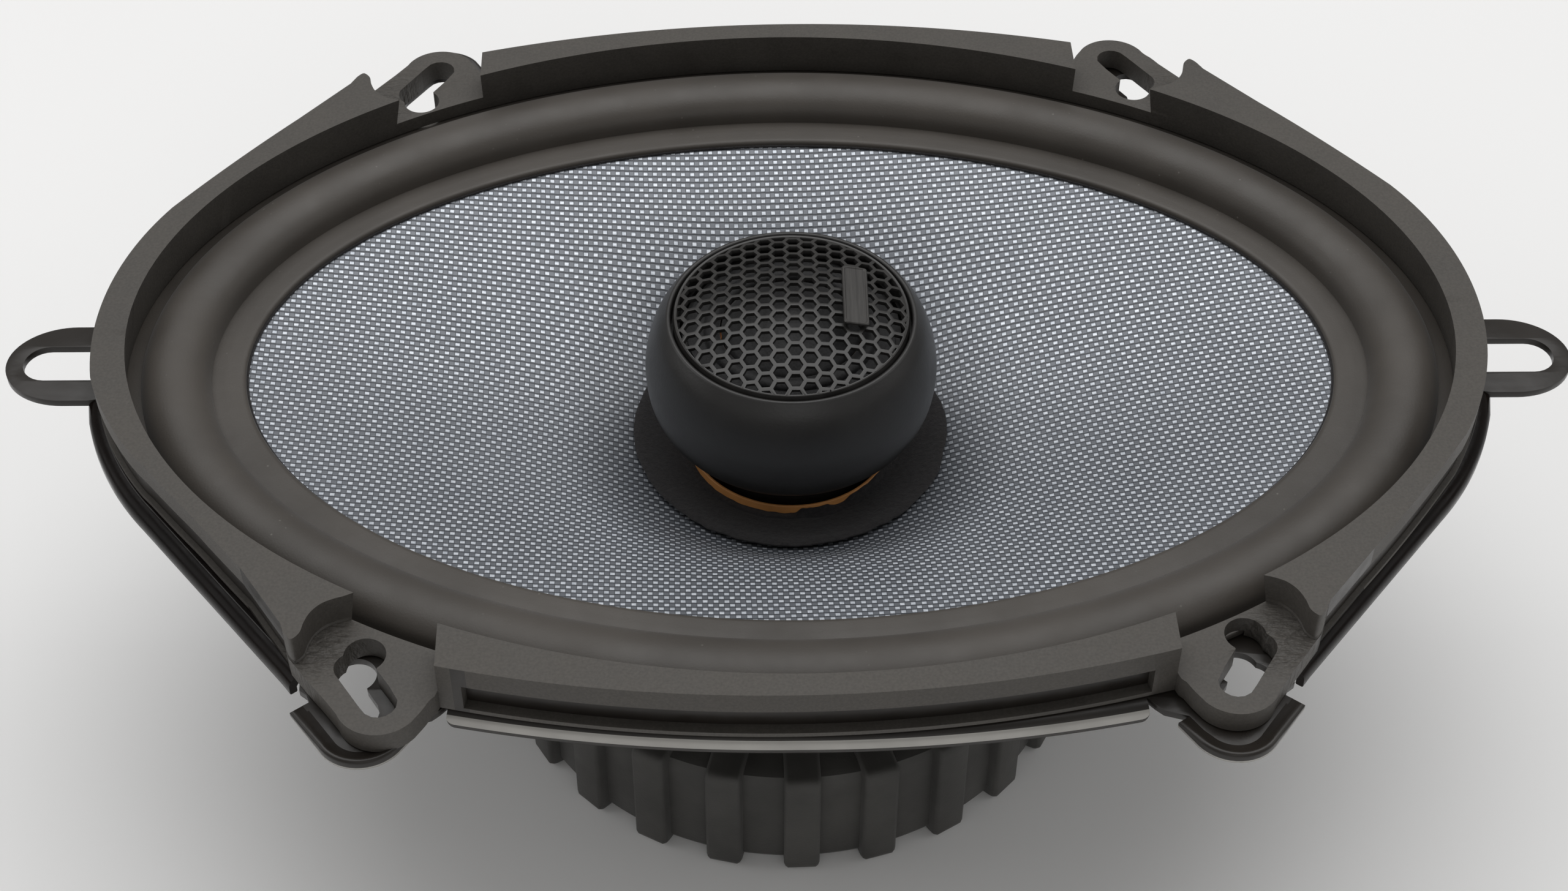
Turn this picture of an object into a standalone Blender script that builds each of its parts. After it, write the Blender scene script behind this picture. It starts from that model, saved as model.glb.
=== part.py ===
"""Coaxial oval car speaker: a stamped basket, an oval woven cone and a tweeter pod on a centre post.

Metres, +Z up, with the long axis along X. Heights below are measured from BASE under the magnet boot, and
build() then lowers everything by BASE, so the boot's flat back is on Z = 0. The cone set and the tweeter dome
each slide along Z; their objects' origins are on that axis.
"""

import math

import bmesh
import bpy
from mathutils import Matrix, Vector

MM = 0.001
GAP = 0.3 * MM
BASE = 1.2 * MM

# Flange and front gasket
FLANGE_TOP = 65.0 * MM
STEEL = 1.1 * MM
GASKET_TOP = 73.8 * MM
PAD_TOP = 68.8 * MM
TAB_END = 115.0 * MM
TAB_HALF_WIDTH = 7.7 * MM
TAB_SLOT_HALF_WIDTH = 3.5 * MM
HEM_DROP = 2.8 * MM
SIDE_END = 47.65 * MM
MOUTH = (95.6 * MM, 66.1 * MM)
OVAL_POWER = 1.96
RING_POINTS = 56
TURN_STEPS = 32
POD_STEPS = 28

# Cone, surround and spider
CONE_EDGE = (79.6 * MM, 49.8 * MM)
LAND_WIDTH = 5.0 * MM
ROLL_OUTER = (94.6 * MM, 65.1 * MM)
ROLL_HEIGHT = 4.3 * MM
SKIN = 0.6 * MM
NECK_RING_RADIUS = 23.6 * MM
LEDGE_TOP = 40.5 * MM
SPIDER_RADIUS = 36.6 * MM

# Motor
FORMER_INNER = 15.1 * MM
FORMER_OUTER = 15.5 * MM
FORMER_TOP = 49.8 * MM
POLE_RADIUS = 14.7 * MM
GAP_RADIUS = 17.0 * MM
PLATE_RADIUS = 37.5 * MM
MAGNET_RADIUS = 40.0 * MM
BACK_PLATE = (2.8 * MM, 7.3 * MM)
MAGNET = (7.6 * MM, 17.6 * MM)
TOP_PLATE = (17.9 * MM, 22.4 * MM)
BOOT_RADIUS = 44.3 * MM
RIB_RADIUS = 46.2 * MM
RIB_COUNT = 24
RIB_TURN = math.radians(1.7)
BOOT_TOP = 23.0 * MM
SEAT_TOP = 23.8 * MM

# Tweeter pod
POD_RIM = 74.0 * MM
GRILLE_RADIUS = 17.2 * MM
GRILLE_RISE = 3.0 * MM
DOME_RADIUS = 10.2 * MM


# ---------------------------------------------------------------- scene and materials

def clear_scene():
    for obj in list(bpy.data.objects):
        bpy.data.objects.remove(obj, do_unlink=True)


def new_collection(name, hidden=False):
    group = bpy.data.collections.new(name)
    group.hide_render = hidden
    bpy.context.scene.collection.children.link(group)
    return group


def new_material(name, colour, roughness, metallic=0.0):
    made = bpy.data.materials.new(name)
    made.use_nodes = True
    surface = made.node_tree.nodes["Principled BSDF"]
    surface.inputs["Base Color"].default_value = (*colour, 1.0)
    surface.inputs["Roughness"].default_value = roughness
    surface.inputs["Metallic"].default_value = metallic
    made.diffuse_color = (*colour, 1.0)
    return made


# ---------------------------------------------------------------- outlines

def oval(size, count=RING_POINTS, power=OVAL_POWER):
    """Points of a superellipse with half lengths `size`, anticlockwise from +X, at even angles."""
    points = []
    for step in range(count):
        angle = 2 * math.pi * step / count
        across = abs(math.cos(angle) / size[0]) ** power
        along = abs(math.sin(angle) / size[1]) ** power
        radius = (across + along) ** (-1 / power)
        points.append((radius * math.cos(angle), radius * math.sin(angle)))
    return points


def grown(size, amount):
    return (size[0] + amount, size[1] + amount)


def keyhole(inside, circle, slot_ends, slot_radius, count=26):
    """A round hole, (centre, radius), joined to a slot; `inside` is a point within both."""
    discs = [circle]
    for step in range(25):
        share = step / 24
        x = slot_ends[0][0] * (1 - share) + slot_ends[1][0] * share
        y = slot_ends[0][1] * (1 - share) + slot_ends[1][1] * share
        discs.append(((x, y), slot_radius))
    points = []
    for step in range(count):
        angle = 2 * math.pi * step / count
        heading = Vector((math.cos(angle), math.sin(angle)))
        reach = 0.0
        for centre, radius in discs:
            offset = Vector(centre) - Vector(inside)
            ahead = offset.dot(heading)
            half_chord = radius**2 - offset.length_squared + ahead**2
            if half_chord > 0:
                reach = max(reach, ahead + math.sqrt(half_chord))
        points.append((inside[0] + reach * heading.x, inside[1] + reach * heading.y))
    return points


def slot_outline(centre, direction, half_length, radius, steps=6):
    """A slot with round ends: `half_length` runs from its centre to the centre of each end."""
    turn = math.atan2(direction[1], direction[0])
    points = []
    for end in (0, 1):
        for step in range(steps + 1):
            angle = turn + math.pi * (end - 0.5 + step / steps)
            shift = half_length if end == 0 else -half_length
            x = centre[0] + shift * math.cos(turn) + radius * math.cos(angle)
            y = centre[1] + shift * math.sin(turn) + radius * math.sin(angle)
            points.append((x, y))
    return points


def all_quadrants(quarter):
    """The closed outline made by mirroring a quarter that runs from the +X axis to the +Y axis."""
    second = [(-x, y) for x, y in reversed(quarter) if x > 1e-6]
    half = quarter + second
    lower = [(x, -y) for x, y in reversed(half) if y > 1e-6]
    return half + lower


def arc_through(first, middle, last, steps):
    """Points from `first` to `last` on the circle through all three, leaving out `last`."""
    a, b, c = Vector(first), Vector(middle), Vector(last)
    d = 2 * (a.x * (b.y - c.y) + b.x * (c.y - a.y) + c.x * (a.y - b.y))
    aa, bb, cc = a.length_squared, b.length_squared, c.length_squared
    x = (aa * (b.y - c.y) + bb * (c.y - a.y) + cc * (a.y - b.y)) / d
    y = (aa * (c.x - b.x) + bb * (a.x - c.x) + cc * (b.x - a.x)) / d
    centre = Vector((x, y))
    start = math.atan2(a.y - y, a.x - x)
    through = (math.atan2(b.y - y, b.x - x) - start) % (2 * math.pi)
    sweep = (math.atan2(c.y - y, c.x - x) - start) % (2 * math.pi)
    if through > sweep:
        sweep -= 2 * math.pi
    radius = (a - centre).length
    points = []
    for step in range(steps):
        angle = start + sweep * step / steps
        points.append((x + radius * math.cos(angle), y + radius * math.sin(angle)))
    return points


# ---------------------------------------------------------------- solids

def as_mesh(curve_object):
    """The mesh of a curve object, with the seam of its caps welded."""
    graph = bpy.context.evaluated_depsgraph_get()
    mesh = bpy.data.meshes.new_from_object(curve_object.evaluated_get(graph))
    bpy.data.objects.remove(curve_object, do_unlink=True)
    shape = bmesh.new()
    shape.from_mesh(mesh)
    bmesh.ops.remove_doubles(shape, verts=shape.verts, dist=1e-6)
    bmesh.ops.recalc_face_normals(shape, faces=shape.faces)
    shape.to_mesh(mesh)
    shape.free()
    return mesh


def prism(name, outlines, bottom, top, home):
    """The flat outline (the first is the edge, the rest are holes) raised from `bottom` to `top`."""
    curve = bpy.data.curves.new(name, "CURVE")
    curve.dimensions = "2D"
    curve.fill_mode = "BOTH"
    curve.extrude = (top - bottom) / 2
    for outline in outlines:
        spline = curve.splines.new("POLY")
        spline.points.add(len(outline) - 1)
        for point, (x, y) in zip(spline.points, outline):
            point.co = (x, y, 0, 1)
        spline.use_cyclic_u = True
    flat = bpy.data.objects.new(name + "_outline", curve)
    home.objects.link(flat)
    flat.location.z = (top + bottom) / 2
    bpy.context.view_layer.update()
    place = flat.matrix_world.copy()
    mesh = as_mesh(flat)
    mesh.transform(place)
    mesh.name = name
    solid = bpy.data.objects.new(name, mesh)
    home.objects.link(solid)
    return solid


def turned(name, profile, home, steps=TURN_STEPS, closed=True):
    """A profile of (radius, height) points, down its outer side first, turned about Z."""
    mesh = bpy.data.meshes.new(name)
    verts = [(r, 0, z) for r, z in profile]
    edges = [(i, i + 1) for i in range(len(verts) - 1)]
    if closed:
        edges.append((len(verts) - 1, 0))
    mesh.from_pydata(verts, edges, [])
    solid = bpy.data.objects.new(name, mesh)
    home.objects.link(solid)
    screw = solid.modifiers.new("Turn", "SCREW")
    screw.axis = "Z"
    screw.steps = steps
    screw.render_steps = steps
    screw.use_merge_vertices = True
    screw.merge_threshold = 0.00001
    screw.use_normal_calculate = False
    return solid


def ring_of_ovals(name, sections, home, closed=True, count=RING_POINTS):
    """A loft through ovals, each (half length, half width, height, power); closed back on the first."""
    shape = bmesh.new()
    rings = []
    for length, width, height, power in sections:
        outline = oval((length, width), count, power)
        rings.append([shape.verts.new((x, y, height)) for x, y in outline])
    pairs = list(zip(rings, rings[1:]))
    if closed:
        pairs.append((rings[-1], rings[0]))
    for lower, upper in pairs:
        for i in range(count):
            j = (i + 1) % count
            shape.faces.new((lower[i], lower[j], upper[j], upper[i]))
    bmesh.ops.recalc_face_normals(shape, faces=shape.faces)
    mesh = bpy.data.meshes.new(name)
    shape.to_mesh(mesh)
    shape.free()
    solid = bpy.data.objects.new(name, mesh)
    home.objects.link(solid)
    return solid


def block(name, size, location, home, rotation=(0, 0, 0)):
    shape = bmesh.new()
    bmesh.ops.create_cube(shape, size=1.0, matrix=Matrix.Diagonal((*size, 1.0)))
    mesh = bpy.data.meshes.new(name)
    shape.to_mesh(mesh)
    shape.free()
    solid = bpy.data.objects.new(name, mesh)
    solid.location = location
    solid.rotation_euler = rotation
    home.objects.link(solid)
    return solid


def boolean(solid, other, operation):
    step = solid.modifiers.new(operation.title(), "BOOLEAN")
    step.object = other
    step.operation = operation
    step.solver = "EXACT"


def cutter(obj):
    obj.hide_render = True
    obj.display_type = "WIRE"
    return obj


def finish(solid, material, angle=35):
    solid.data.materials.clear()
    solid.data.materials.append(material)
    solid.data.shade_smooth()
    solid.data.set_sharp_from_angle(angle=math.radians(angle))
    return solid


# ---------------------------------------------------------------- outlines of the flange and the gasket

def gasket_quarter():
    """Outer edge of the gasket: the oval end, the straight diagonal, the corner ear and the long side."""
    end = arc_through((100.2 * MM, 0), (98.4 * MM, 13.8 * MM), (92.5 * MM, 26.5 * MM), 8)
    shoulder = arc_through((92.5 * MM, 26.5 * MM), (84.0 * MM, 37.4 * MM), (75.6 * MM, 47.2 * MM), 5)
    corner = [(75.6 * MM, 47.2 * MM), (68.1 * MM, 56.0 * MM), (67.4 * MM, 57.6 * MM), (66.6 * MM, 58.6 * MM)]
    corner += [(65.3 * MM, 60.3 * MM), (62.1 * MM, 64.4 * MM)]
    ear = arc_through((60.3 * MM, 66.9 * MM), (55.8 * MM, 70.35 * MM), (50.6 * MM, 68.3 * MM), 8)
    back = [(50.6 * MM, 68.3 * MM), (49.1 * MM, 66.1 * MM)]
    side = arc_through((SIDE_END, 63.4 * MM), (24.0 * MM, 68.1 * MM), (0, 69.6 * MM), 6)
    return end + shoulder + corner + ear + back + side + [(0, 69.6 * MM)]


def flange_quarter():
    """Outer edge of the stamped flange, from the tip of the end tab to the middle of the long side."""
    tab_curve = 9.3 * MM
    tab = []
    for step in range(7):
        angle = math.pi / 2 * step / 6
        x = TAB_END - tab_curve + tab_curve * math.cos(angle)
        tab.append((x, TAB_HALF_WIDTH * math.sin(angle)))
    return tab + flange_diagonal() + flange_ear() + flange_side()


def flange_diagonal():
    end = [(101.9 * MM, TAB_HALF_WIDTH)]
    bend = arc_through((101.2 * MM, 11.2 * MM), (97.3 * MM, 20.7 * MM), (90.6 * MM, 30.5 * MM), 6)
    return end + bend + [(90.6 * MM, 30.5 * MM), (67.8 * MM, 58.1 * MM), (66.4 * MM, 59.9 * MM)]


def flange_ear():
    start = [(64.4 * MM, 62.6 * MM), (65.6 * MM, 64.9 * MM)]
    bow = arc_through((61.4 * MM, 70.6 * MM), (56.3 * MM, 73.5 * MM), (51.2 * MM, 71.0 * MM), 7)
    return start + bow + [(51.2 * MM, 71.0 * MM), (47.2 * MM, 65.0 * MM)]


def flange_side():
    points = arc_through((45.9 * MM, 65.1 * MM), (24.0 * MM, 68.7 * MM), (0, 69.9 * MM), 6)
    return points + [(0, 69.9 * MM)]


def in_four_corners(outline):
    return [[(sx * x, sy * y) for x, y in outline] for sx in (1, -1) for sy in (1, -1)]


# ---------------------------------------------------------------- basket and gasket

def make_basket(parts, cutters, steel):
    circle = ((57.8 * MM, 58.8 * MM), 2.75 * MM)
    ends = ((59.7 * MM, 60.1 * MM), (56.5 * MM, 65.0 * MM))
    slots = in_four_corners(keyhole((58.75 * MM, 59.45 * MM), circle, ends, 2.4 * MM))
    for side in (1, -1):
        slots.append(slot_outline((side * 104.3 * MM, 0), (side, 0), 4.7 * MM, TAB_SLOT_HALF_WIDTH))
    opening = oval((93.9 * MM, 64.4 * MM))
    outline = all_quadrants(flange_quarter())
    basket = prism("basket", [outline, opening] + slots, FLANGE_TOP - STEEL, FLANGE_TOP, parts)
    boolean(basket, basket_bowl(cutters), "UNION")
    boolean(basket, basket_hem(cutters), "UNION")
    boolean(basket, basket_windows(cutters), "DIFFERENCE")
    return finish(basket, steel, 30)


def basket_bowl(cutters):
    """The pressed frame from the oval flange down to the round spider ledge and the motor seat."""
    inner = [
        (93.4, 63.9, 65.0, 1.96),
        (92.4, 62.9, 60.5, 1.96),
        (89.0, 60.0, 58.0, 1.96),
        (66.0, 51.8, 46.6, 1.98),
        (46.0, 46.0, 40.5, 2.0),
        (36.2, 36.2, 40.5, 2.0),
        (33.4, 33.4, 23.8, 2.0),
        (21.5, 21.5, 23.8, 2.0),
    ]
    outer = [
        (21.5, 21.5, 22.7, 2.0),
        (34.4, 34.4, 22.7, 2.0),
        (37.1, 37.1, 39.4, 2.0),
        (46.5, 46.5, 39.4, 2.0),
        (66.8, 52.8, 45.7, 1.98),
        (89.9, 61.0, 57.2, 1.96),
        (93.6, 64.1, 60.0, 1.96),
        (94.6, 65.1, 65.0, 1.96),
    ]
    sections = [(a * MM, b * MM, z * MM, n) for a, b, z, n in inner + outer]
    return cutter(ring_of_ovals("basket_bowl", sections, cutters))


def basket_hem(cutters):
    """The turned-down edge of the flange, along both long sides and all four diagonals."""
    bottom = FLANGE_TOP - HEM_DROP
    top = FLANGE_TOP - STEEL / 2
    strips = []
    for sy in (1, -1):
        half = flange_side()
        full = [(x, sy * y) for x, y in half] + [(-x, sy * y) for x, y in reversed(half[:-1])]
        strips.append(full)
        for sx in (1, -1):
            strips.append([(sx * x, sy * y) for x, y in flange_diagonal()])
    shape = bmesh.new()
    for strip in strips:
        add_wall(shape, strip, STEEL, bottom, top, inset=0.05 * MM)
    bmesh.ops.recalc_face_normals(shape, faces=shape.faces)
    mesh = bpy.data.meshes.new("basket_hem")
    shape.to_mesh(mesh)
    shape.free()
    hem = bpy.data.objects.new("basket_hem", mesh)
    cutters.objects.link(hem)
    return cutter(hem)


def add_wall(shape, line, thickness, bottom, top, inset=0.0):
    """A wall along `line`, its thickness measured from the line towards the Z axis."""
    sections = []
    for index, (x, y) in enumerate(line):
        before = Vector(line[max(index - 1, 0)])
        after = Vector(line[min(index + 1, len(line) - 1)])
        along = (after - before).normalized()
        normal = Vector((-along.y, along.x))
        if normal.dot(Vector((x, y))) > 0:
            normal = -normal
        outer = Vector((x, y)) + normal * inset
        inner = Vector((x, y)) + normal * thickness
        corners = ((*outer, bottom), (*outer, top), (*inner, top), (*inner, bottom))
        sections.append([shape.verts.new(corner) for corner in corners])
    for near, far in zip(sections, sections[1:]):
        for i in range(4):
            j = (i + 1) % 4
            shape.faces.new((near[i], near[j], far[j], far[i]))
    shape.faces.new(sections[0])
    shape.faces.new(sections[-1])


def basket_windows(cutters):
    """Six openings through the sloping wall, with spokes between them."""
    spans = ((0, 24), (62, 20), (118, 20), (180, 24), (242, 20), (298, 20))
    low, high = 43.4 * MM, 56.6 * MM
    shape = bmesh.new()
    for middle, half in spans:
        corners = []
        for radius, turn in ((49, -half), (130, -half), (130, half), (49, half)):
            angle = math.radians(middle + turn)
            corners.append((radius * MM * math.cos(angle), radius * MM * math.sin(angle)))
        lower = [shape.verts.new((x, y, low)) for x, y in corners]
        upper = [shape.verts.new((x, y, high)) for x, y in corners]
        shape.faces.new(lower)
        shape.faces.new(upper)
        for i in range(4):
            j = (i + 1) % 4
            shape.faces.new((lower[i], lower[j], upper[j], upper[i]))
    bmesh.ops.recalc_face_normals(shape, faces=shape.faces)
    mesh = bpy.data.meshes.new("basket_windows")
    shape.to_mesh(mesh)
    shape.free()
    windows = bpy.data.objects.new("basket_windows", mesh)
    cutters.objects.link(windows)
    return cutter(windows)


def make_gasket(parts, cutters, plastic):
    circle = ((57.45 * MM, 57.3 * MM), 2.78 * MM)
    ends = ((58.9 * MM, 59.3 * MM), (55.05 * MM, 65.2 * MM))
    slots = in_four_corners(keyhole((58.2 * MM, 58.3 * MM), circle, ends, 2.4 * MM))
    outline = all_quadrants(gasket_quarter())
    bottom = FLANGE_TOP + GAP
    gasket = prism("front_gasket", [outline] + slots, bottom, GASKET_TOP, parts)
    mouth = [
        (*grown(MOUTH, 1.2 * MM), 60 * MM, OVAL_POWER),
        (*grown(MOUTH, 1.2 * MM), bottom, OVAL_POWER),
        (*MOUTH, GASKET_TOP, OVAL_POWER),
        (*MOUTH, 80 * MM, OVAL_POWER),
    ]
    opening = ring_of_ovals("gasket_mouth", mouth, cutters, closed=False)
    close_ends(opening.data)
    boolean(gasket, cutter(opening), "DIFFERENCE")
    rebate = prism("gasket_rebate", [oval((97.3 * MM, 68.0 * MM))], 60 * MM, bottom + 0.9 * MM, cutters)
    boolean(gasket, cutter(rebate), "DIFFERENCE")
    boolean(gasket, gasket_recesses(cutters), "DIFFERENCE")
    boolean(gasket, gasket_grooves(cutters), "DIFFERENCE")
    return finish(gasket, plastic, 30)


def close_ends(mesh):
    shape = bmesh.new()
    shape.from_mesh(mesh)
    bmesh.ops.holes_fill(shape, edges=[e for e in shape.edges if e.is_boundary])
    bmesh.ops.recalc_face_normals(shape, faces=shape.faces)
    shape.to_mesh(mesh)
    shape.free()


def gasket_recesses(cutters):
    """The space above the four ear pads, with the curved wall and the horn at the diagonal's end."""
    wall = [(58.3, 50.6), (60.0, 51.4), (61.5, 51.9), (63.0, 52.7), (64.2, 54.1), (64.9, 55.8), (65.2, 57.3)]
    horn = [(65.8, 58.2), (66.4, 58.5), (67.2, 57.7), (67.8, 56.6)]
    quarter = [(x * MM, y * MM) for x, y in wall + horn + [(73.0, 57.5), (72.0, 66.0), (56.0, 80.0)]]
    quarter += [(SIDE_END, 76 * MM), (SIDE_END, 52 * MM), (56 * MM, 44 * MM)]
    low, high = PAD_TOP, 80 * MM
    shape = bmesh.new()
    for sx in (1, -1):
        for sy in (1, -1):
            lower = [shape.verts.new((sx * x, sy * y, low)) for x, y in quarter]
            upper = [shape.verts.new((sx * x, sy * y, high)) for x, y in quarter]
            shape.faces.new(lower)
            shape.faces.new(upper)
            for i in range(len(quarter)):
                j = (i + 1) % len(quarter)
                shape.faces.new((lower[i], lower[j], upper[j], upper[i]))
    bmesh.ops.recalc_face_normals(shape, faces=shape.faces)
    mesh = bpy.data.meshes.new("gasket_recesses")
    shape.to_mesh(mesh)
    shape.free()
    recesses = bpy.data.objects.new("gasket_recesses", mesh)
    cutters.objects.link(recesses)
    return cutter(recesses)


def gasket_grooves(cutters):
    """A shallow groove along the outer face of each long side."""
    shape = bmesh.new()
    for sy in (1, -1):
        line = arc_through((44.6 * MM, 65.8 * MM), (22.0 * MM, 69.85 * MM), (0, 71.1 * MM), 5)
        half = line + [(0, 71.1 * MM)]
        full = [(x, sy * y) for x, y in half] + [(-x, sy * y) for x, y in reversed(line)]
        add_wall(shape, full, 2.6 * MM, FLANGE_TOP + 1.0 * MM, FLANGE_TOP + 5.4 * MM)
    bmesh.ops.recalc_face_normals(shape, faces=shape.faces)
    mesh = bpy.data.meshes.new("gasket_grooves")
    shape.to_mesh(mesh)
    shape.free()
    grooves = bpy.data.objects.new("gasket_grooves", mesh)
    cutters.objects.link(grooves)
    return cutter(grooves)


# ---------------------------------------------------------------- cone set

def make_surround(parts, rubber):
    """Inner land on the cone's rim, a half roll, and an outer land clamped under the gasket."""
    land_top = FLANGE_TOP + 0.3 * MM
    land = grown(CONE_EDGE, LAND_WIDTH)
    width = ROLL_OUTER[0] - land[0]
    upper = [(*grown(CONE_EDGE, 0.1 * MM), land_top, 1.95), (*land, land_top, 1.95)]
    steps = 6
    for step in range(1, steps):
        angle = math.pi * step / steps
        out = width * (1 - math.cos(angle)) / 2
        rise = ROLL_HEIGHT * math.sin(angle)
        blend = land[1] + (ROLL_OUTER[1] - land[1]) * out / width
        upper.append((land[0] + out, blend, land_top + rise, 1.955))
    clamp_top = FLANGE_TOP + GAP + SKIN
    upper.append((*ROLL_OUTER, clamp_top, OVAL_POWER))
    upper.append((97.0 * MM, 67.7 * MM, clamp_top, OVAL_POWER))
    lower = []
    for index, (length, width_at, height, power) in enumerate(reversed(upper)):
        inside = 0 < index < len(upper) - 1
        shift = 0.0
        if inside and height > clamp_top + 0.5 * MM:
            middle = (land[0] + ROLL_OUTER[0]) / 2
            shift = -SKIN * (length - middle) / (width / 2)
        lower.append((length + shift, width_at + shift, height - SKIN, power))
    surround = ring_of_ovals("surround", upper + lower, parts)
    return finish(surround, rubber, 50)


def make_cone(parts, weave):
    """The woven dish from the rim under the surround down to the round neck."""
    rim = grown(CONE_EDGE, LAND_WIDTH - 1.0 * MM)
    top = [
        (rim[0] / MM, rim[1] / MM, 64.4, 1.95),
        (79.6, 49.8, 64.3, 1.95),
        (60.0, 39.2, 60.3, 1.965),
        (41.0, 30.8, 55.4, 1.98),
        (24.2, 24.2, 49.8, 2.0),
        (15.8, 15.8, 46.8, 2.0),
    ]
    upper = [(a * MM, b * MM, z * MM, n) for a, b, z, n in top]
    lower = [(a, b, z - 0.6 * MM, n) for a, b, z, n in reversed(upper)]
    cone = ring_of_ovals("cone", upper + lower, parts)
    return finish(cone, weave, 50)


def make_neck_ring(parts, felt):
    outer, inner = NECK_RING_RADIUS, FORMER_OUTER + GAP
    profile = [(inner, 48.3 * MM), (outer, 50.6 * MM), (outer, 50.05 * MM), (inner, 47.75 * MM)]
    return finish(turned("neck_ring", profile, parts), felt)


def make_former(parts, film):
    inner, outer = FORMER_INNER, FORMER_OUTER
    profile = [(inner, FORMER_TOP), (outer, FORMER_TOP), (outer, 14.7 * MM), (inner, 14.7 * MM)]
    return finish(turned("voice_coil_former", profile, parts), film)


def make_coil(parts, copper):
    inner, outer = FORMER_OUTER + GAP, 16.5 * MM
    profile = [(inner, 25.2 * MM), (outer, 25.2 * MM), (outer, 15.1 * MM), (inner, 15.1 * MM)]
    return finish(turned("voice_coil", profile, parts), copper)


def make_spider(parts, cloth):
    """A corrugated disc between the former and the ledge of the basket."""
    inner, outer = FORMER_OUTER + GAP, SPIDER_RADIUS + 7.6 * MM
    base = LEDGE_TOP + GAP + SKIN
    waves, per_wave = 2, 4
    upper = [(inner, base)]
    flat = 8.4 * MM
    steps = waves * per_wave
    start = inner + 1.4 * MM
    for step in range(steps + 1):
        radius = start + (outer - flat - start) * step / steps
        upper.append((radius, base + 1.1 * MM * math.sin(2 * math.pi * step / per_wave)))
    upper.append((outer, base))
    lower = [(radius, height - SKIN) for radius, height in reversed(upper)]
    return finish(turned("spider", upper + lower, parts), cloth, 60)


# ---------------------------------------------------------------- motor

def make_top_plate(parts, zinc):
    low, high = TOP_PLATE
    profile = [(GAP_RADIUS, high), (PLATE_RADIUS, high), (PLATE_RADIUS, low), (GAP_RADIUS, low)]
    return finish(turned("top_plate", profile, parts), zinc)


def make_magnet(parts, ferrite):
    low, high = MAGNET
    inner, bevel = 21.0 * MM, 1.0 * MM
    outer = MAGNET_RADIUS
    profile = [
        (inner, high),
        (outer - bevel, high),
        (outer, high - bevel),
        (outer, low + bevel),
        (outer - bevel, low),
        (inner, low),
    ]
    return finish(turned("magnet", profile, parts), ferrite)


def make_yoke(parts, zinc):
    """Back plate and pole in one turning, bored for the post screw."""
    low, high = BACK_PLATE
    top = 23.0 * MM
    bore, sink = 3.0 * MM, 6.0 * MM
    profile = [
        (bore, top),
        (POLE_RADIUS, top),
        (POLE_RADIUS, high),
        (38.5 * MM, high),
        (38.5 * MM, low),
        (sink, low),
        (sink, low + 3.4 * MM),
        (bore, low + 3.4 * MM),
    ]
    return finish(turned("t_yoke", profile, parts), zinc)


def boot_outline():
    """The ribbed outer edge of the boot, one rib RIB_TURN past the -Y axis."""
    rib_half = 2.7 * MM
    points = []
    for rib in range(RIB_COUNT):
        middle = RIB_TURN - math.pi / 2 + 2 * math.pi * rib / RIB_COUNT
        root = math.asin(rib_half / BOOT_RADIUS)
        crest = math.asin(rib_half * 0.93 / RIB_RADIUS)
        space = 2 * math.pi / RIB_COUNT
        for radius, turn in (
            (BOOT_RADIUS, -root),
            (RIB_RADIUS, -crest),
            (RIB_RADIUS, crest),
            (BOOT_RADIUS, root),
            (BOOT_RADIUS, space / 2),
        ):
            angle = middle + turn
            points.append((radius * math.cos(angle), radius * math.sin(angle)))
    return points


def make_boot(parts, cutters, rubber):
    boot = prism("magnet_boot", [boot_outline()], BASE, BOOT_TOP, parts)
    wall = MAGNET_RADIUS + GAP
    lip = PLATE_RADIUS + GAP
    hollow = [
        (0, BOOT_TOP + 1 * MM),
        (lip, BOOT_TOP + 1 * MM),
        (lip, MAGNET[1] + GAP),
        (wall, MAGNET[1] + GAP),
        (wall, BACK_PLATE[0] - GAP),
        (0, BACK_PLATE[0] - GAP),
    ]
    inside = cutter(turned("boot_inside", hollow, cutters, closed=False))
    boolean(boot, inside, "DIFFERENCE")
    return finish(boot, rubber, 30)


def make_stakes(parts, zinc):
    """Four rivets that hold the basket's seat to the top plate."""
    for index in range(4):
        angle = math.radians(45 + 90 * index)
        profile = [
            (0, SEAT_TOP + 1.7 * MM),
            (1.6 * MM, SEAT_TOP + 1.5 * MM),
            (2.4 * MM, SEAT_TOP + 0.9 * MM),
            (2.4 * MM, SEAT_TOP + GAP),
            (0, SEAT_TOP + GAP),
        ]
        stake = turned("seat_rivet_%d" % (index + 1), profile, parts, steps=16, closed=False)
        stake.location = (27.5 * MM * math.cos(angle), 27.5 * MM * math.sin(angle), 0)
        finish(stake, zinc)


# ---------------------------------------------------------------- terminals

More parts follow.
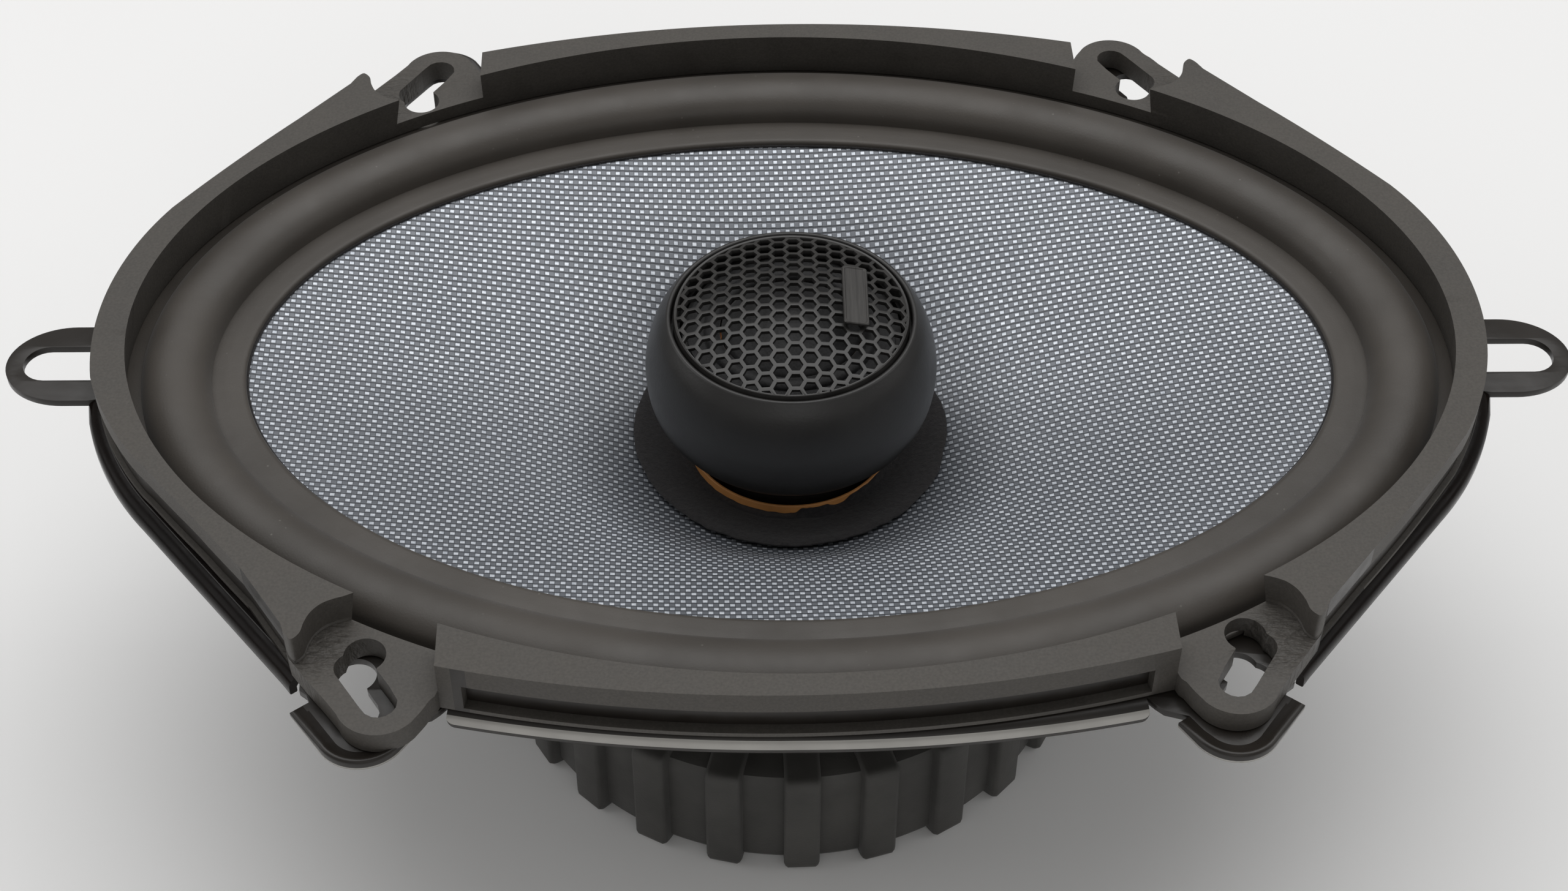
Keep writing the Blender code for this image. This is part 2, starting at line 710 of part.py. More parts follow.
def make_terminals(parts, board_stock, brass, zinc, film):
    """A board under the spider ledge on the +Y side, with two tabs, two rivets and the tweeter's capacitor."""
    board_top = LEDGE_TOP - STEEL - GAP
    thickness = 1.5 * MM
    board_y = 47.8 * MM
    board = block(
        "terminal_board",
        (30 * MM, 19 * MM, thickness),
        (0, board_y, board_top - thickness / 2),
        parts,
    )
    finish(board, board_stock)
    under = board_top - thickness - GAP
    for side, name, width in ((-1, "terminal_positive", 4.8), (1, "terminal_negative", 2.8)):
        tab_profile = [(0, 0), (0, -0.8), (11.0, -0.8), (11.0, -8.0), (11.8, -8.0), (11.8, 0)]
        tab = sheet_strip(name, tab_profile, width * MM, parts)
        tab.location = (side * 10.5 * MM, board_y - 3.4 * MM, under)
        finish(tab, brass)
        profile = [
            (0, board_top - thickness - GAP),
            (1.5 * MM, board_top - thickness - GAP),
            (1.5 * MM, board_top - thickness - 1.3 * MM),
            (0, board_top - thickness - 1.5 * MM),
        ]
        number = 1 if side < 0 else 2
        rivet = turned("board_rivet_%d" % number, profile, parts, steps=16, closed=False)
        rivet.location = (side * 4.6 * MM, board_y - 6.2 * MM, 0)
        finish(rivet, zinc)
    can = [(0, 6.0), (3.4, 6.0), (3.9, 5.4), (3.9, -5.4), (3.4, -6.0), (0, -6.0)]
    profile = [(r * MM, z * MM) for r, z in can]
    capacitor = turned("crossover_capacitor", profile, parts, steps=24, closed=False)
    capacitor.rotation_euler = (0, math.radians(90), 0)
    capacitor.location = (0, board_y + 1.2 * MM, under - 4.2 * MM)
    finish(capacitor, film)


def sheet_strip(name, outline, width, home):
    """A bent strip: `outline` is its section in Y and Z in millimetres, `width` is along X."""
    shape = bmesh.new()
    sides = []
    for x in (-width / 2, width / 2):
        sides.append([shape.verts.new((x, y * MM, z * MM)) for y, z in outline])
    shape.faces.new(sides[0])
    shape.faces.new(sides[1])
    for i in range(len(outline)):
        j = (i + 1) % len(outline)
        shape.faces.new((sides[0][i], sides[0][j], sides[1][j], sides[1][i]))
    bmesh.ops.recalc_face_normals(shape, faces=shape.faces)
    mesh = bpy.data.meshes.new(name)
    shape.to_mesh(mesh)
    shape.free()
    strip = bpy.data.objects.new(name, mesh)
    home.objects.link(strip)
    return strip


# ---------------------------------------------------------------- tweeter pod

def make_post(parts, plastic, zinc):
    post = [
        (3.7 * MM, 51.7 * MM),
        (3.7 * MM, 44.7 * MM),
        (9.0 * MM, 44.7 * MM),
        (9.0 * MM, 26.3 * MM),
        (13.0 * MM, 25.3 * MM),
        (13.0 * MM, 23.3 * MM),
        (2.8 * MM, 23.3 * MM),
        (2.8 * MM, 40.0 * MM),
        (0, 40.0 * MM),
    ]
    made = turned("tweeter_post", [(0, 51.7 * MM)] + post, parts, steps=32, closed=False)
    finish(made, plastic)
    low = BACK_PLATE[0] + 0.2 * MM
    screw = [
        (0, 38.0 * MM),
        (2.0 * MM, 38.0 * MM),
        (2.5 * MM, 37.4 * MM),
        (2.5 * MM, low + 2.9 * MM),
        (5.4 * MM, low + 2.9 * MM),
        (5.4 * MM, low + 0.6 * MM),
        (4.8 * MM, low),
        (0, low),
    ]
    finish(turned("post_screw", screw, parts, steps=24, closed=False), zinc)


def make_housing(parts, plastic):
    """The round bowl of the pod, open at the top, with the neck that sits on the post."""
    outer = [
        (17.5, 74.0),
        (18.1, 74.0),
        (19.6, 71.8),
        (20.7, 69.0),
        (21.35, 65.8),
        (21.4, 63.0),
        (21.0, 60.1),
        (20.0, 57.5),
        (18.4, 55.3),
        (16.4, 53.9),
        (14.2, 53.0),
        (12.4, 52.2),
        (12.4, 45.0),
        (4.0, 45.0),
        (4.0, 52.0),
        (0, 52.0),
    ]
    inner = [(0, 61.0), (16.3, 61.0), (16.3, 71.0), (17.5, 71.0)]
    profile = [(r * MM, z * MM) for r, z in outer]
    cavity = [(r * MM, z * MM) for r, z in inner]
    bowl = cavity + profile
    made = turned("tweeter_housing", bowl, parts, closed=False)
    return finish(made, plastic, 40)


def make_tweeter_motor(parts, zinc, magnet_stock, copper, film):
    cup = [(11.0, 68.6), (13.5, 68.6), (13.5, 61.3), (0, 61.3)]
    well = [(0, 63.1), (11.0, 63.1)]
    profile = [(r * MM, z * MM) for r, z in well + cup]
    finish(turned("tweeter_yoke", profile, parts, POD_STEPS, False), zinc)
    disc = [(0, 66.9 * MM), (8.8 * MM, 66.9 * MM), (8.8 * MM, 63.4 * MM), (0, 63.4 * MM)]
    finish(turned("tweeter_magnet", disc, parts, POD_STEPS, False), magnet_stock)
    plate = [(0, 68.7 * MM), (9.3 * MM, 68.7 * MM), (9.3 * MM, 67.2 * MM), (0, 67.2 * MM)]
    finish(turned("tweeter_pole_plate", plate, parts, POD_STEPS, False), zinc)
    tube = [(9.7 * MM, 70.9 * MM), (9.9 * MM, 70.9 * MM), (9.9 * MM, 66.2 * MM), (9.7 * MM, 66.2 * MM)]
    finish(turned("tweeter_former", tube, parts, POD_STEPS), film)
    coil = [(10.2 * MM, 69.2 * MM), (10.6 * MM, 69.2 * MM), (10.6 * MM, 66.6 * MM), (10.2 * MM, 66.6 * MM)]
    finish(turned("tweeter_coil", coil, parts, POD_STEPS), copper)


def make_tweeter_front(parts, plastic, silk):
    ring = [(12.6, 70.7), (16.0, 70.7), (16.0, 68.9), (12.6, 68.9)]
    finish(turned("tweeter_face_ring", [(r * MM, z * MM) for r, z in ring], parts, POD_STEPS), plastic)
    rise, base, skin = 3.6 * MM, 71.2 * MM, 0.3 * MM
    sphere = (DOME_RADIUS**2 + rise**2) / (2 * rise)
    dome = []
    steps = 5
    for step in range(steps + 1):
        radius = DOME_RADIUS * step / steps
        dome.append((radius, base + rise - sphere + math.sqrt(sphere**2 - radius**2)))
    under = [(radius, height - skin) for radius, height in reversed(dome)]
    finish(turned("tweeter_dome", dome + under, parts, POD_STEPS, False), silk, 60)
    inner, outer = DOME_RADIUS + GAP, 15.2 * MM
    roll_end = 12.9 * MM
    upper = []
    for step in range(5):
        angle = math.pi * step / 4
        radius = inner + (roll_end - inner) * (1 - math.cos(angle)) / 2
        upper.append((radius, base + 0.9 * MM * math.sin(angle)))
    upper.append((outer, base))
    lower = [(radius, height - skin + 0.1 * MM) for radius, height in reversed(upper)]
    finish(turned("tweeter_surround", upper + lower, parts, POD_STEPS), silk, 60)


def make_grille(parts, steel, plate_stock):
    """A domed cap with a short skirt, and the blank plate fixed on it."""
    skin = 0.5 * MM
    sphere = (GRILLE_RADIUS**2 + GRILLE_RISE**2) / (2 * GRILLE_RISE)
    top = []
    steps = 5
    for step in range(steps + 1):
        radius = GRILLE_RADIUS * step / steps
        top.append((radius, POD_RIM + GRILLE_RISE - sphere + math.sqrt(sphere**2 - radius**2)))
    foot = 71.0 * MM + GAP
    inside = [(GRILLE_RADIUS, foot), (GRILLE_RADIUS - skin, foot)]
    under = [(radius, height - skin) for radius, height in reversed(top[:-1])]
    skirt_top = (GRILLE_RADIUS - skin, POD_RIM - skin)
    profile = top + inside + [skirt_top] + under
    finish(turned("grille", profile, parts, 32, False), steel, 50)
    place = Vector((9.1 * MM, 0.9 * MM))
    tilt = math.asin(place.x / sphere)
    lift = POD_RIM + GRILLE_RISE - sphere + (sphere + GAP + 0.35 * MM) * math.cos(tilt)
    badge = block("badge", (3.7 * MM, 12.0 * MM, 0.6 * MM), (0, 0, 0), parts, (0, tilt, 0))
    badge.location = (place.x + 0.1 * MM, place.y, lift)
    finish(badge, plate_stock)


# ---------------------------------------------------------------- build

def build():
    clear_scene()
    parts = new_collection("coaxial_speaker")
    cutters = new_collection("cutters", hidden=True)
    black_steel = new_material("black_painted_steel", (0.022, 0.021, 0.020), 0.35)
    charcoal = new_material("charcoal_plastic", (0.080, 0.074, 0.070), 0.62)
    black_plastic = new_material("black_plastic", (0.016, 0.016, 0.017), 0.45)
    rubber = new_material("surround_rubber", (0.060, 0.054, 0.049), 0.58)
    boot_rubber = new_material("boot_rubber", (0.020, 0.021, 0.022), 0.70)
    weave = new_material("glass_fibre_weave", (0.330, 0.360, 0.430), 0.40)
    felt = new_material("black_paper", (0.018, 0.017, 0.018), 0.95)
    film = new_material("former_film", (0.520, 0.230, 0.070), 0.45)
    copper = new_material("copper_winding", (0.560, 0.220, 0.100), 0.35, 1.0)
    cloth = new_material("spider_cloth", (0.420, 0.250, 0.080), 0.85)
    zinc = new_material("zinc_plated_steel", (0.620, 0.620, 0.600), 0.32, 1.0)
    ferrite = new_material("ferrite", (0.045, 0.044, 0.046), 0.60)
    board = new_material("phenolic_board", (0.240, 0.120, 0.050), 0.60)
    brass = new_material("tinned_brass", (0.700, 0.660, 0.560), 0.30, 1.0)
    sleeve = new_material("capacitor_sleeve", (0.030, 0.045, 0.120), 0.40)
    silk = new_material("dome_silk", (0.014, 0.014, 0.015), 0.75)
    mesh_steel = new_material("grille_steel", (0.012, 0.012, 0.013), 0.38)
    plate = new_material("badge_plate", (0.060, 0.060, 0.062), 0.35, 0.6)

    make_basket(parts, cutters, black_steel)
    make_gasket(parts, cutters, charcoal)
    make_surround(parts, rubber)
    make_cone(parts, weave)
    make_neck_ring(parts, felt)
    make_former(parts, film)
    make_coil(parts, copper)
    make_spider(parts, cloth)
    make_top_plate(parts, zinc)
    make_magnet(parts, ferrite)
    make_yoke(parts, zinc)
    make_boot(parts, cutters, boot_rubber)
    make_stakes(parts, zinc)
    make_terminals(parts, board, brass, zinc, sleeve)
    make_post(parts, black_plastic, zinc)
    make_housing(parts, black_plastic)
    make_tweeter_motor(parts, zinc, zinc, copper, film)
    make_tweeter_front(parts, black_plastic, silk)
    make_grille(parts, mesh_steel, plate)
    for obj in bpy.data.objects:
        obj.location.z -= BASE


build()
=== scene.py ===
"""Looks of the coaxial car speaker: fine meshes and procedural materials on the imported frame."""

import math

import bmesh
import bpy
from mathutils import Matrix, Vector, noise


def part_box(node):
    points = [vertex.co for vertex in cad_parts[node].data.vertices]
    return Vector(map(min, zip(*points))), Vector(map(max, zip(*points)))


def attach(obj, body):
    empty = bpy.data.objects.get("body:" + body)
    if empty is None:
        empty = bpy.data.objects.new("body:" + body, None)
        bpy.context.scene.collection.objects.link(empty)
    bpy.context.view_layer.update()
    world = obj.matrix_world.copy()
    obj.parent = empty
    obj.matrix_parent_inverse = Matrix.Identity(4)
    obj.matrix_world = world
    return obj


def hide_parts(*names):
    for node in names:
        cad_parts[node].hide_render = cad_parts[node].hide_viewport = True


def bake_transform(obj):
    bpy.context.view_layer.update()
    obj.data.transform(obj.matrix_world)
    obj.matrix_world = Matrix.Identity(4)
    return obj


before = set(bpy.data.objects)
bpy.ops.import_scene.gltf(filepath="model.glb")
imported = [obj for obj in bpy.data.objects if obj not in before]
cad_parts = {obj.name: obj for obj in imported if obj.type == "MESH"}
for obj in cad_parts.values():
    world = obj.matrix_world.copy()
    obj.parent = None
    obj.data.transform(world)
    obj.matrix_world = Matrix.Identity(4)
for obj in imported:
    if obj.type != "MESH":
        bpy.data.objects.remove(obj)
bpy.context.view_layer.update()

MM = 0.001
BASE = 1.2 * MM


def drawn_box(node):
    """The node's box in drawing heights, which are BASE above the frame's."""
    return [(x, y, z + BASE) for x, y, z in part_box(node)]


GASKET_LOW, GASKET_TOP = drawn_box("front_gasket")[0][2], drawn_box("front_gasket")[1][2]
FLANGE_TOP = GASKET_LOW - 0.3 * MM
TWIST = math.radians(1.2)
SIDE_END = 47.65
TAB_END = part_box("basket")[1][0]
STEEL = 1.1 * MM
PAD_TOP = FLANGE_TOP + 3.8 * MM
MOUTH = (95.6 * MM, 66.1 * MM)
CONE_EDGE = (79.6 * MM, 49.8 * MM)
ROLL_OUTER = (94.6 * MM, 65.1 * MM)
POD_RIM = FLANGE_TOP + 9.0 * MM
GRILLE_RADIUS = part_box("grille")[1][0]
GRILLE_RISE = 3.0 * MM
AROUND = 288


# ---------------------------------------------------------------- camera, light and floor

def look_from(azimuth, elevation, roll, distance, aim, shift):
    """A camera matrix: it looks back at `aim` from the given angles, moved sideways by `shift`."""
    az, el, turn = (math.radians(a) for a in (azimuth, elevation, roll))
    back = Vector((math.sin(az) * math.cos(el), -math.cos(az) * math.cos(el), math.sin(el)))
    right = Vector((math.cos(az), math.sin(az), 0))
    up = back.cross(right)
    turned_right = right * math.cos(turn) + up * math.sin(turn)
    turned_up = up * math.cos(turn) - right * math.sin(turn)
    place = Vector(aim) + back * distance - turned_right * shift[0] - turned_up * shift[1]
    matrix = Matrix((turned_right, turned_up, back)).transposed().to_4x4()
    matrix.translation = place
    return matrix


def placed(name, data):
    made = bpy.data.objects.new(name, data)
    bpy.context.scene.collection.objects.link(made)
    return made


def make_camera():
    data = bpy.data.cameras.new("view")
    data.lens = 58.24
    data.sensor_width = 36.0
    camera = placed("view", data)
    azimuth, elevation, roll = -1.03, 46.11, 0.38
    distance, shift = 3.244 * TAB_END, (0.0091 * TAB_END, 0.1103 * TAB_END)
    aim = (0, 0, FLANGE_TOP - BASE)
    camera.matrix_world = look_from(azimuth, elevation, roll, distance, aim, shift)
    bpy.context.scene.camera = camera


def soft_light(name, place, aim, size, power):
    data = bpy.data.lights.new(name, "AREA")
    data.shape = "RECTANGLE"
    data.size, data.size_y = size
    data.energy = power
    light = placed(name, data)
    light.location = place
    light.rotation_euler = (Vector(aim) - Vector(place)).to_track_quat("-Z", "Y").to_euler()


def make_stage():
    soft_light("overhead", (0.0, 0.35, 1.1), (0, 0, 0.06), (1.5, 1.0), 9.6)
    soft_light("left", (-1.0, 0.1, 0.6), (0, 0, 0.05), (0.6, 0.6), 1.2)
    soft_light("right", (1.0, 0.0, 0.7), (0, 0, 0.05), (0.6, 0.6), 1.0)
    soft_light("front", (0.1, -1.1, 0.7), (0, 0, 0.05), (0.8, 0.4), 0.8)
    world = bpy.data.worlds.new("studio")
    world.use_nodes = True
    background = world.node_tree.nodes["Background"]
    background.inputs["Color"].default_value = (1.0, 0.985, 0.96, 1)
    background.inputs["Strength"].default_value = 0.30
    bpy.context.scene.world = world
    bpy.context.scene.view_settings.view_transform = "Standard"
    shape = bmesh.new()
    bmesh.ops.create_grid(shape, x_segments=1, y_segments=1, size=4.0)
    floor = loose("floor", shape)
    paint = Surface("floor_paper", (0.955, 0.955, 0.955), 0.85)
    paint.vary_colour(paint.noise(3.0, 2), 0.02)
    floor.data.materials.append(paint.material)


# ---------------------------------------------------------------- materials

class Surface:
    """A Principled material with its pattern in object coordinates, in metres."""

    def __init__(self, name, colour, roughness, metallic=0.0):
        self.material = bpy.data.materials.new(name)
        self.material.use_nodes = True
        self.tree = self.material.node_tree
        self.shader = self.tree.nodes["Principled BSDF"]
        self.colour = colour
        self.roughness = roughness
        self.set("Base Color", (*colour, 1))
        self.set("Roughness", roughness)
        self.set("Metallic", metallic)
        self.place = self.node("ShaderNodeTexCoord").outputs["Object"]
        self.material.diffuse_color = (*colour, 1)

    def node(self, kind, **values):
        made = self.tree.nodes.new(kind)
        for key, value in values.items():
            setattr(made, key, value)
        return made

    def link(self, start, end):
        self.tree.links.new(start, end)

    def set(self, socket, value):
        self.shader.inputs[socket].default_value = value

    def math(self, operation, *terms):
        made = self.node("ShaderNodeMath", operation=operation)
        for socket, term in zip(made.inputs, terms):
            if isinstance(term, (int, float)):
                socket.default_value = term
            else:
                self.link(term, socket)
        return made.outputs[0]

    def times(self, first, second):
        return self.math("MULTIPLY", first, second)

    def plus(self, first, second):
        return self.math("ADD", first, second)

    def minus(self, first, second):
        return self.math("SUBTRACT", first, second)

    def reach(self, x, y):
        """The length of (x, y)."""
        return self.math("SQRT", self.plus(self.math("POWER", x, 2), self.math("POWER", y, 2)))

    def arch(self, count):
        """Half a sine over each whole step of `count`."""
        return self.math("SINE", self.times(self.math("FLOORED_MODULO", count, 1), math.pi))

    def noise(self, scale, detail=3, rough=0.55, place=None):
        made = self.node("ShaderNodeTexNoise")
        made.inputs["Scale"].default_value = scale
        made.inputs["Detail"].default_value = detail
        made.inputs["Roughness"].default_value = rough
        self.link(place or self.place, made.inputs["Vector"])
        return made.outputs["Fac"]

    def cells(self, scale):
        made = self.node("ShaderNodeTexVoronoi", feature="F1")
        made.inputs["Scale"].default_value = scale
        self.link(self.place, made.inputs["Vector"])
        return made.outputs["Distance"]

    def stretched(self, x, y, z):
        made = self.node("ShaderNodeMapping")
        made.inputs["Scale"].default_value = (x, y, z)
        self.link(self.place, made.inputs["Vector"])
        return made.outputs["Vector"]

    def axes(self):
        made = self.node("ShaderNodeSeparateXYZ")
        self.link(self.place, made.inputs[0])
        return made.outputs[0], made.outputs[1], made.outputs[2]

    def between(self, value, low, high, out_low=0.0, out_high=1.0):
        made = self.node("ShaderNodeMapRange")
        limits = {"From Min": low, "From Max": high, "To Min": out_low, "To Max": out_high}
        for socket, number in limits.items():
            made.inputs[socket].default_value = number
        self.link(value, made.inputs["Value"])
        return made.outputs["Result"]

    def mix(self, factor, first, second):
        made = self.node("ShaderNodeMix", data_type="RGBA")
        self.link(factor, made.inputs[0])
        for socket, value in ((made.inputs[6], first), (made.inputs[7], second)):
            if isinstance(value, tuple):
                socket.default_value = (*value, 1)
            else:
                self.link(value, socket)
        return made.outputs[2]

    def paint(self, colour):
        self.link(colour, self.shader.inputs["Base Color"])

    def vary_colour(self, pattern, amount):
        dark = tuple(c * (1 - amount) for c in self.colour)
        light = tuple(min(1, c * (1 + amount)) for c in self.colour)
        self.paint(self.mix(self.between(pattern, 0.3, 0.7), dark, light))

    def vary_roughness(self, pattern, amount):
        low, high = self.roughness - amount, self.roughness + amount
        self.link(self.between(pattern, 0.3, 0.7, low, high), self.shader.inputs["Roughness"])

    def bump(self, height, distance, strength=1.0, under=None):
        made = self.node("ShaderNodeBump")
        made.inputs["Strength"].default_value = strength
        made.inputs["Distance"].default_value = distance
        self.link(height, made.inputs["Height"])
        if under is not None:
            self.link(under, made.inputs["Normal"])
        self.link(made.outputs["Normal"], self.shader.inputs["Normal"])
        return made.outputs["Normal"]


# Colour, roughness, metallic; then colour noise and gloss noise as (scale, detail, amount), and the
# surface grain as (scale, detail, height, strength).
COATINGS = {
    "painted_steel": ((0.0190, 0.0160, 0.0136), 0.34, 0, (60, 3, 0.25), (220, 4, 0.07), (900, 2, 4e-5, 0.5)),
    # Next row: a darker copy of the painted_steel paint for the diagonal skirts, painted shade.
    "shaded_steel_paint": ((0.0062, 0.0042, 0.0035), 0.26, 0, (60, 3, 0.4), (160, 4, 0.10), (240, 3, 12e-5, 0.5)),
    # Next row: a light grey paint that stands for the highlights along the flange's bends, painted highlight.
    "painted_highlight_edge": ((0.36, 0.35, 0.33), 0.42, 0.5, (90, 3, 0.10), (300, 3, 0.06), (1400, 2, 2e-5, 0.4)),
    "amber_film": ((0.52, 0.24, 0.08), 0.36, 0, (140, 3, 0.22), (300, 2, 0.08), (700, 2, 4e-5, 0.4)),
    "pod_plastic": ((0.0195, 0.0188, 0.0184), 0.38, 0, (80, 3, 0.2), (160, 4, 0.05), (2400, 2, 3e-5, 0.6)),
    "grille_paint": ((0.022, 0.021, 0.020), 0.34, 0, (200, 3, 0.3), (400, 3, 0.06), (1800, 2, 3e-5, 0.5)),
    "zinc_plate": ((0.60, 0.60, 0.58), 0.30, 1, (90, 4, 0.14), (240, 4, 0.09), (1500, 2, 2e-5, 0.5)),
    "ferrite": ((0.034, 0.033, 0.035), 0.58, 0, (400, 5, 0.35), None, (900, 4, 8e-5, 0.6)),
    "paper_laminate": ((0.230, 0.115, 0.048), 0.5, 0, (180, 5, 0.25), None, (700, 3, 4e-5, 0.5)),
    "tinned_brass": ((0.66, 0.62, 0.52), 0.28, 1, (160, 4, 0.15), (300, 3, 0.1), None),
    "capacitor_sleeve": ((0.020, 0.030, 0.085), 0.32, 0, (160, 3, 0.25), None, (300, 3, 6e-5, 0.5)),
}
SPECULAR = {"painted_steel": 0.38, "shaded_steel_paint": 0.10}


def coated(name):
    """A material from COATINGS. Where the flange rolls over, a darker, glossier copy of painted_steel stands
    for painted shade.
    """
    colour, roughness, metallic, tint, gloss, grain = COATINGS[name]
    surface = Surface(name, colour, roughness, metallic)
    surface.vary_colour(surface.noise(*tint[:2]), tint[2])
    if gloss:
        surface.vary_roughness(surface.noise(*gloss[:2]), gloss[2])
    if grain:
        surface.bump(surface.noise(*grain[:2]), *grain[2:])
    if name in SPECULAR:
        surface.set("Specular IOR Level", SPECULAR[name])
    return surface.material


def gasket_plastic():
    """Grained moulding, rippled in the recesses beside the ears."""
    plastic = Surface("gasket_plastic", (0.066, 0.060, 0.053), 0.62)
    mottle = plastic.noise(90, 4)
    grain = plastic.noise(2600, 2)
    plastic.vary_colour(plastic.plus(plastic.times(mottle, 0.5), plastic.times(grain, 0.5)), 0.28)
    plastic.vary_roughness(mottle, 0.07)
    x, y, z = plastic.axes()
    side = plastic.minus(plastic.math("ABSOLUTE", x), 62.6 * MM)
    depth = plastic.minus(plastic.math("ABSOLUTE", y), 57.5 * MM)
    near = plastic.between(plastic.reach(side, depth), 7.2 * MM, 3.4 * MM)
    floor = PAD_TOP - BASE
    low = plastic.between(z, floor + 0.6 * MM, floor + 0.1 * MM)
    ripple = plastic.noise(420, 3, 0.5, plastic.stretched(1.0, 2.6, 1.0))
    first = plastic.bump(plastic.times(plastic.times(near, low), ripple), 0.0011, 1.0)
    plastic.bump(grain, 0.00006, 0.7, first)
    return plastic.material


def surround_rubber():
    rubber = Surface("surround_rubber", (0.050, 0.045, 0.040), 0.50)
    cloud = rubber.noise(38, 4)
    specks = rubber.between(rubber.cells(520), 0.10, 0.03)
    dusty = rubber.times(specks, rubber.between(rubber.noise(70, 2), 0.52, 0.62))
    base = rubber.mix(rubber.between(cloud, 0.35, 0.65), (0.040, 0.034, 0.028), (0.058, 0.050, 0.042))
    rubber.paint(rubber.mix(rubber.times(dusty, 0.5), base, (0.20, 0.19, 0.17)))
    rubber.vary_roughness(rubber.noise(120, 3), 0.06)
    first = rubber.bump(rubber.noise(160, 3), 0.00012, 0.35)
    rubber.bump(rubber.noise(3000, 2), 0.00003, 0.6, first)
    rubber.set("Sheen Weight", 0.12)
    rubber.set("Sheen Roughness", 0.5)
    return rubber.material


def woven_cone():
    """Plain weave: short floats in a brick pattern on a greyer ground, under a clear resin. The floats'
    bright colour is a painted glint on the real weave pattern, the dark gaps where the yarns dive are painted
    shade, and the darkening towards the neck is painted shade.
    """
    cloth = Surface("glass_weave", (0.30, 0.33, 0.38), 0.40, 0.3)
    x, y, _ = cloth.axes()
    turn = math.radians(1.8)
    wander = cloth.times(cloth.minus(cloth.noise(60, 2), 0.5), 0.5)
    along = cloth.plus(cloth.times(x, math.cos(turn)), cloth.times(y, math.sin(turn)))
    across = cloth.minus(cloth.times(y, math.cos(turn)), cloth.times(x, math.sin(turn)))
    u = cloth.plus(cloth.math("DIVIDE", along, 0.74 * MM), wander)
    v = cloth.plus(cloth.math("DIVIDE", across, 0.95 * MM), wander)
    odd = cloth.math("FLOORED_MODULO", cloth.plus(cloth.math("FLOOR", u), cloth.math("FLOOR", v)), 2)
    arch_u, arch_v = (cloth.arch(thread) for thread in (u, v))
    dash = cloth.times(cloth.between(arch_v, 0.42, 0.75), cloth.between(arch_u, 0.0, 0.30))
    dash = cloth.times(dash, cloth.minus(1, odd))
    # Low at the row borders where the yarns dive: painted shade in the gaps, and also the yarn height for the
    # bump.
    yarn_and_gap_shade = cloth.times(cloth.between(arch_v, 0.05, 0.55), cloth.between(arch_u, 0.0, 0.25, 0.35, 1.0))
    fibres = cloth.noise(1900, 2, 0.6, cloth.stretched(0.5, 1.0, 1.0))
    tone = cloth.noise(24, 3)
    # The floats' light colour is a painted glint; the brick pattern of the weave itself is real.
    glint_float_colour = cloth.mix(cloth.between(fibres, 0.3, 0.7), (0.46, 0.50, 0.56), (0.78, 0.82, 0.88))
    ground = cloth.mix(cloth.between(tone, 0.3, 0.7), (0.135, 0.146, 0.166), (0.185, 0.198, 0.222))
    ground = cloth.mix(yarn_and_gap_shade, (0.030, 0.034, 0.043), ground)
    colour = cloth.mix(dash, ground, glint_float_colour)
    # Painted shade: the cone's colour darkens towards the neck.
    painted_neck_shade = cloth.between(cloth.reach(x, y), 23 * MM, 36 * MM, 0.45, 0.0)
    cloth.paint(cloth.mix(painted_neck_shade, colour, (0.020, 0.022, 0.027)))
    cloth.bump(cloth.plus(cloth.times(yarn_and_gap_shade, 0.4), dash), 0.00012, 0.8)
    cloth.set("Coat Weight", 0.2)
    cloth.set("Coat Roughness", 0.3)
    return cloth.material


def black_paper():
    paper = Surface("black_paper", (0.010, 0.009, 0.010), 0.95)
    fuzz = paper.noise(1500, 5, 0.7)
    paper.paint(paper.mix(paper.between(fuzz, 0.35, 0.8), (0.005, 0.004, 0.005), (0.022, 0.020, 0.021)))
    paper.bump(fuzz, 0.0003, 0.9)
    paper.set("Sheen Weight", 0.08)
    paper.set("Sheen Roughness", 0.6)
    return paper.material


def badge_metal():
    metal = Surface("badge_metal", (0.052, 0.050, 0.048), 0.42, 0.5)
    brushed = metal.noise(900, 3, 0.6, metal.stretched(3.0, 0.15, 1.0))
    metal.vary_colour(brushed, 0.25)
    metal.vary_roughness(brushed, 0.08)
    metal.bump(brushed, 0.00002, 0.5)
    return metal.material


def boot_rubber():
    rubber = Surface("boot_rubber", (0.0520, 0.0500, 0.0460), 0.60)
    rubber.vary_colour(rubber.noise(70, 4), 0.3)
    rubber.vary_roughness(rubber.noise(130, 3), 0.08)
    first = rubber.bump(rubber.noise(260, 3), 0.00010, 0.4)
    rubber.bump(rubber.noise(2600, 3), 0.00005, 0.7, first)
    rubber.set("Sheen Weight", 0.08)
    return rubber.material


def spider_cloth():
    cloth = Surface("spider_cloth", (0.40, 0.235, 0.085), 0.82)
    threads = []
    for direction in ("X", "Y"):
        wave = cloth.node("ShaderNodeTexWave", wave_type="BANDS", bands_direction=direction)
        wave.inputs["Scale"].default_value = 420
        cloth.link(cloth.place, wave.inputs["Vector"])
        threads.append(wave.outputs["Fac"])
    weave = cloth.times(*threads)
    cloth.vary_colour(weave, 0.35)
    cloth.bump(weave, 0.00012, 0.8)
    return cloth.material


def copper_wire():
    wire = Surface("copper_wire", (0.56, 0.22, 0.09), 0.30, 1.0)
    _, _, z = wire.axes()
    turns = wire.math("SINE", wire.times(z, 2 * math.pi / (0.22 * MM)))
    wire.vary_colour(wire.between(turns, -1, 1), 0.3)
    wire.bump(turns, 0.00005, 0.8)
    return wire.material


def dome_silk():
    silk = Surface("dome_silk", (0.010, 0.010, 0.011), 0.55)
    weave = silk.cells(2600)
    silk.vary_colour(weave, 0.4)
    silk.bump(weave, 0.00004, 0.6)
    silk.set("Sheen Weight", 0.2)
    return silk.material


# ---------------------------------------------------------------- shapes

